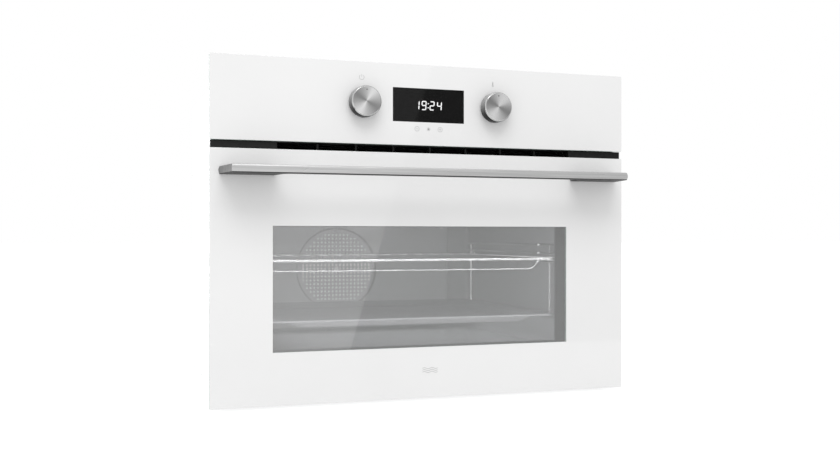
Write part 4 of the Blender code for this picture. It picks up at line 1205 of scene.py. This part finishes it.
def make_shelf():
    """The wire shelf: a round-cornered frame, fourteen wires and a guard in front."""
    half = SHELF_HIGH.x
    near, rear = SHELF_LOW.y, SHELF_HIGH.y
    top = SHELF_HIGH.z
    bar, rod, thin = 0.0019, 0.0018, 0.0010
    z = top - rod
    builder = bmesh.new()
    corner = 0.018
    frame_path = bent([(half - rod, near + bar, z), (half - rod, rear - rod, z),
                       (-half + rod, rear - rod, z), (-half + rod, near + bar, z)], corner, 6)
    add_tube(builder, frame_path, rod, 10, coat=2)
    add_tube(builder, [(-half + 0.0005, near + bar, z - 0.0002), (half - 0.0005, near + bar, z - 0.0002)],
             bar - 0.0003, 14)
    wires = 14
    for index in range(wires):
        x = -half + (index + 1) * 2 * half / (wires + 1)
        add_tube(builder, [(x, near + bar, z + 0.0005), (x, rear - rod, z + 0.0005)], thin, 8, coat=1)
    guard_z = SHELF_LOW.z + thin
    guard_left, guard_right, guard_rise = -0.208, 0.180, 0.010
    guard = [(guard_left - guard_rise, near + bar, z), (guard_left, near + thin, guard_z),
             (guard_right, near + thin, guard_z), (guard_right + guard_rise, near + bar, z)]
    add_tube(builder, bent(guard, 0.010, 5), 0.65 * thin, 8)
    piece("wire_shelf_grid", builder, wire_finishes(), "shelf", ["wire_shelf"])


def make_tray():
    """The pressed tray: rolled rim, sloping walls and round corners."""
    half = TRAY_HIGH.x
    near, rear = TRAY_LOW.y, TRAY_HIGH.y
    rim_z, floor_z = TRAY_HIGH.z, TRAY_LOW.z
    sheet = 0.0012
    foot_x, well_x = 0.170, 0.190
    levels = [(half - 0.0004, 0.0004, 0.012, rim_z - 0.0026), (half, 0.0, 0.012, rim_z - 0.0014),
              (half - 0.0007, 0.0007, 0.011, rim_z - 0.0002), (half - 0.0025, 0.0020, 0.010, rim_z),
              (well_x + 0.004, 0.0050, 0.014, rim_z - 0.0004), (well_x, 0.0065, 0.014, rim_z - 0.0014),
              (foot_x + 0.002, 0.0120, 0.014, floor_z + sheet + 0.0012),
              (foot_x - 0.001, 0.0145, 0.012, floor_z + sheet)]
    builder = bmesh.new()
    rings = []
    for half_x, margin, corner, z in levels:
        loop = rounded_rect((-half_x, near + margin), (half_x, rear - margin), corner, 6)
        rings.append(add_loop(builder, loop, "z", z))
    add_walls(builder, rings)
    add_cap(builder, [rings[-1]])
    tray = piece("baking_tray_pan", builder, [tray_enamel()], "tray", ["baking_tray"], smooth=50)
    thicken(tray, 0.0010)


def make_gasket():
    """The door seal: a soft oval bead round the mouth."""
    low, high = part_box("door_gasket")
    wide, corner = 0.0040, 0.014
    y = (low.y + high.y) / 2
    path = rounded_rect(*shrunk(low.xz, high.xz, wide), corner, 8)
    builder = bmesh.new()
    add_tube(builder, [(x, y, z) for x, z in path], (high.y - low.y) / 2, 14, closed=True, flat=wide,
             up=Vector((0, 1, 0)))
    piece("door_seal", builder, [silicone()], "chassis", ["door_gasket"], smooth=60)


def make_grill():
    """The folded heater under the ceiling, with bends as a real one has."""
    low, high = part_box("grill_element")
    radius = (high.z - low.z) / 2
    z = (low.z + high.z) / 2
    lead_x, inner_x, outer_x = 0.025, 0.060, high.x - radius
    middle_x = (inner_x + outer_x) / 2
    near, inner_rear = low.y + radius, low.y + 0.233
    rear = low.y + 0.288
    half = [(lead_x, high.y), (lead_x, rear), (outer_x, rear), (outer_x, near), (middle_x, near),
            (middle_x, inner_rear), (inner_x, inner_rear), (inner_x, near)]
    route = half + [(-x, y) for x, y in reversed(half)]
    builder = bmesh.new()
    add_tube(builder, bent([(x, y, z) for x, y in route], 0.018, 6), radius, 14)
    for x in (-outer_x, outer_x):
        add_box(builder, (x - 0.006, near + 0.12, z - radius - 0.0012),
                (x + 0.006, near + 0.128, CAVITY_HIGH.z - CAVITY_WALL), 1)
    piece("grill_heater", builder, [heater_steel(), steel()], "chassis", ["grill_element"])


def make_lamp():
    """The lamp's domed cover glass, with moulded rings."""
    low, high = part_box("lamp_lens")
    radius = (high.z - low.z) / 2
    rise = high.x - low.x
    start = (low.x, (low.y + high.y) / 2, (low.z + high.z) / 2)
    profile = [(0, 0), (radius - 0.0003, 0), (radius, 0.0006), (radius, rise * 0.32),
               (radius * 0.92, rise * 0.36), (radius * 0.90, rise * 0.46), (radius * 0.84, rise * 0.48),
               (radius * 0.82, rise * 0.66), (radius * 0.62, rise * 0.84), (radius * 0.42, rise * 0.93),
               (radius * 0.2, rise * 0.98), (0, rise)]
    builder = bmesh.new()
    add_lathe(builder, profile, start, (1, 0, 0), 40)
    piece("lamp_cover", builder, [lamp_glass()], "chassis", ["lamp_lens"])


# ---------------- casing

def add_rib(builder, low, high, axis, sheet, rise):
    """A pressed rib with sloping flanks and round ends, standing off a sheet."""
    radius = min(high[0] - low[0], high[1] - low[1]) / 2 - 0.0001
    slope = abs(rise)
    crown = rounded_rect(*shrunk(low, high, slope), radius - slope, 6)
    rings = [add_loop(builder, rounded_rect(low, high, radius, 6), axis, sheet - 0.2 * rise),
             add_loop(builder, crown, axis, sheet + rise)]
    add_walls(builder, rings)
    add_cap(builder, rings[:1])
    add_cap(builder, rings[1:])


def make_case_ribs():
    """Stiffening ribs pressed into the casing's sides and top."""
    rise, half, margin = 0.0008, 0.008, 0.070
    builder = bmesh.new()
    for name, side in (("side_panel_left", -1), ("side_panel_right", 1)):
        low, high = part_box(name)
        sheet = high.x if side > 0 else low.x
        for share in (0.28, 0.72):
            z = low.z + share * (high.z - low.z)
            add_rib(builder, (low.y + margin, z - half), (high.y - margin, z + half), "x", sheet, side * rise)
    low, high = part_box("top_cover")
    for share in (0.22, 0.78):
        x = low.x + share * (high.x - low.x)
        add_rib(builder, (x - half, low.y + margin), (x + half, high.y - margin), "z", high.z, rise)
    piece("case_ribs", builder, [zinc_sheet()], "chassis")


def make_case_screws():
    """The self-tapping screws that hold the casing's sheets and the rear cover together."""
    head, margin = 0.0042, 0.014
    builder = bmesh.new()
    low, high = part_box("rear_panel")
    add_screws(builder, low, high, margin, high.y, 1, head, middle=(0.0,))
    low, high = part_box("top_cover")
    for x in (low.x + margin, 0.0, high.x - margin):
        add_screw(builder, (x, high.y - margin, high.z), (0, 0, 1), head)
    low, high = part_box("rear_cover")
    add_screws(builder, low, high, margin, high.y, 1, head)
    piece("case_screws", builder, [steel()], "chassis")


def make_louvres():
    """The hoods pressed out over the rear cover's slots, open below."""
    low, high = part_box("rear_cover")
    half, pitch, slot_half = 0.0615, 0.016, 0.0025
    sheet, reach = 0.0007, 0.0036
    builder = bmesh.new()
    for index in range(-4, 5):
        z = (low.z + high.z) / 2 + index * pitch
        root, lip = z + slot_half + 0.0012, z - slot_half * 0.4
        outline = [(high.y - 0.0002, root), (high.y + reach, lip), (high.y + reach, lip + sheet),
                   (high.y - 0.0002, root + 1.6 * sheet)]
        add_plate(builder, outline, -half, half, "x")
    piece("rear_louvres", builder, [zinc_sheet()], "chassis")


def make_terminal_lid():
    """The terminal box's lid, with a raised border and two screws."""
    low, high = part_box("terminal_box")
    margin, rise = 0.004, 0.0008
    lid_low, lid_high = (low.x + margin, low.z + 3 * margin), (high.x - margin, high.z - margin)
    builder = bmesh.new()
    add_slab(builder, lid_low, lid_high, 0.003, high.y - 0.0002, high.y + rise, 0.0003)
    middle = (lid_low[1] + lid_high[1]) / 2
    for x in (lid_low[0] + 2 * margin, lid_high[0] - 2 * margin):
        add_screw(builder, (x, high.y + rise, middle), (0, 1, 0), 0.0028, 1)
    piece("terminal_lid", builder, [black_plastic(), steel()], "chassis")


# ---------------- carried-over CAD nodes

def both(*names):
    """The left and right node of each name."""
    return [f"{name}_{side}" for name in names for side in ("left", "right")]


def finish_cad_nodes():
    """Materials for the CAD nodes that no piece replaces."""
    edge = 0.0002
    sheets = ["base_plate", "rear_panel", "top_cover", "rear_cover", "air_duct", "blower_housing",
              "blower_impeller"]
    carry_over(sheets + both("side_panel", "side_trim"), zinc_sheet(), edge)
    profiles = ["door_top_profile", "door_bottom_profile"]
    carry_over(profiles + both("door_side_profile", "hinge_body"), steel(), edge)
    turned = ["function_knob_shaft", "temperature_knob_shaft", "convection_fan", "fan_shaft",
              "fan_motor", "blower_motor", "lamp_holder", "temperature_probe"]
    carry_over(turned + both("hinge_arm", "hinge_pin", "hinge_spring", "handle_screw"), steel())
    carry_over(["ring_element", "bottom_element"], heater_steel())
    carry_over(["panel_carrier", "terminal_box"], black_plastic(), 0.0003)
    carry_over(["function_selector", "temperature_selector"], black_plastic())
    carry_over(["power_board"], circuit_board())
    carry_over(["insulation"], mineral_wool())


# ---------------- whole scene


def main():
    make_camera()
    make_floor()
    make_cards()
    make_lights()
    make_door_glass()
    make_inner_panes()
    make_handle()
    make_panel_glass()
    make_clock()
    make_display_unit()
    make_panel_icons()
    make_door_glyph()
    # The last argument lifts each dial's painted highlight fans; the right one is made paler against the grey
    # card's reflection.
    make_dial("function", -1, 0.94)
    make_dial("temperature", 1, 1.55)
    make_vent_strip()
    make_cavity_shell()
    make_front_frame()
    make_fan_cover()
    make_side_rack("side_rack_left", -1)
    make_side_rack("side_rack_right", 1)
    make_shelf()
    make_tray()
    make_gasket()
    make_grill()
    make_lamp()
    make_case_ribs()
    make_case_screws()
    make_louvres()
    make_terminal_lid()
    finish_cad_nodes()


main()
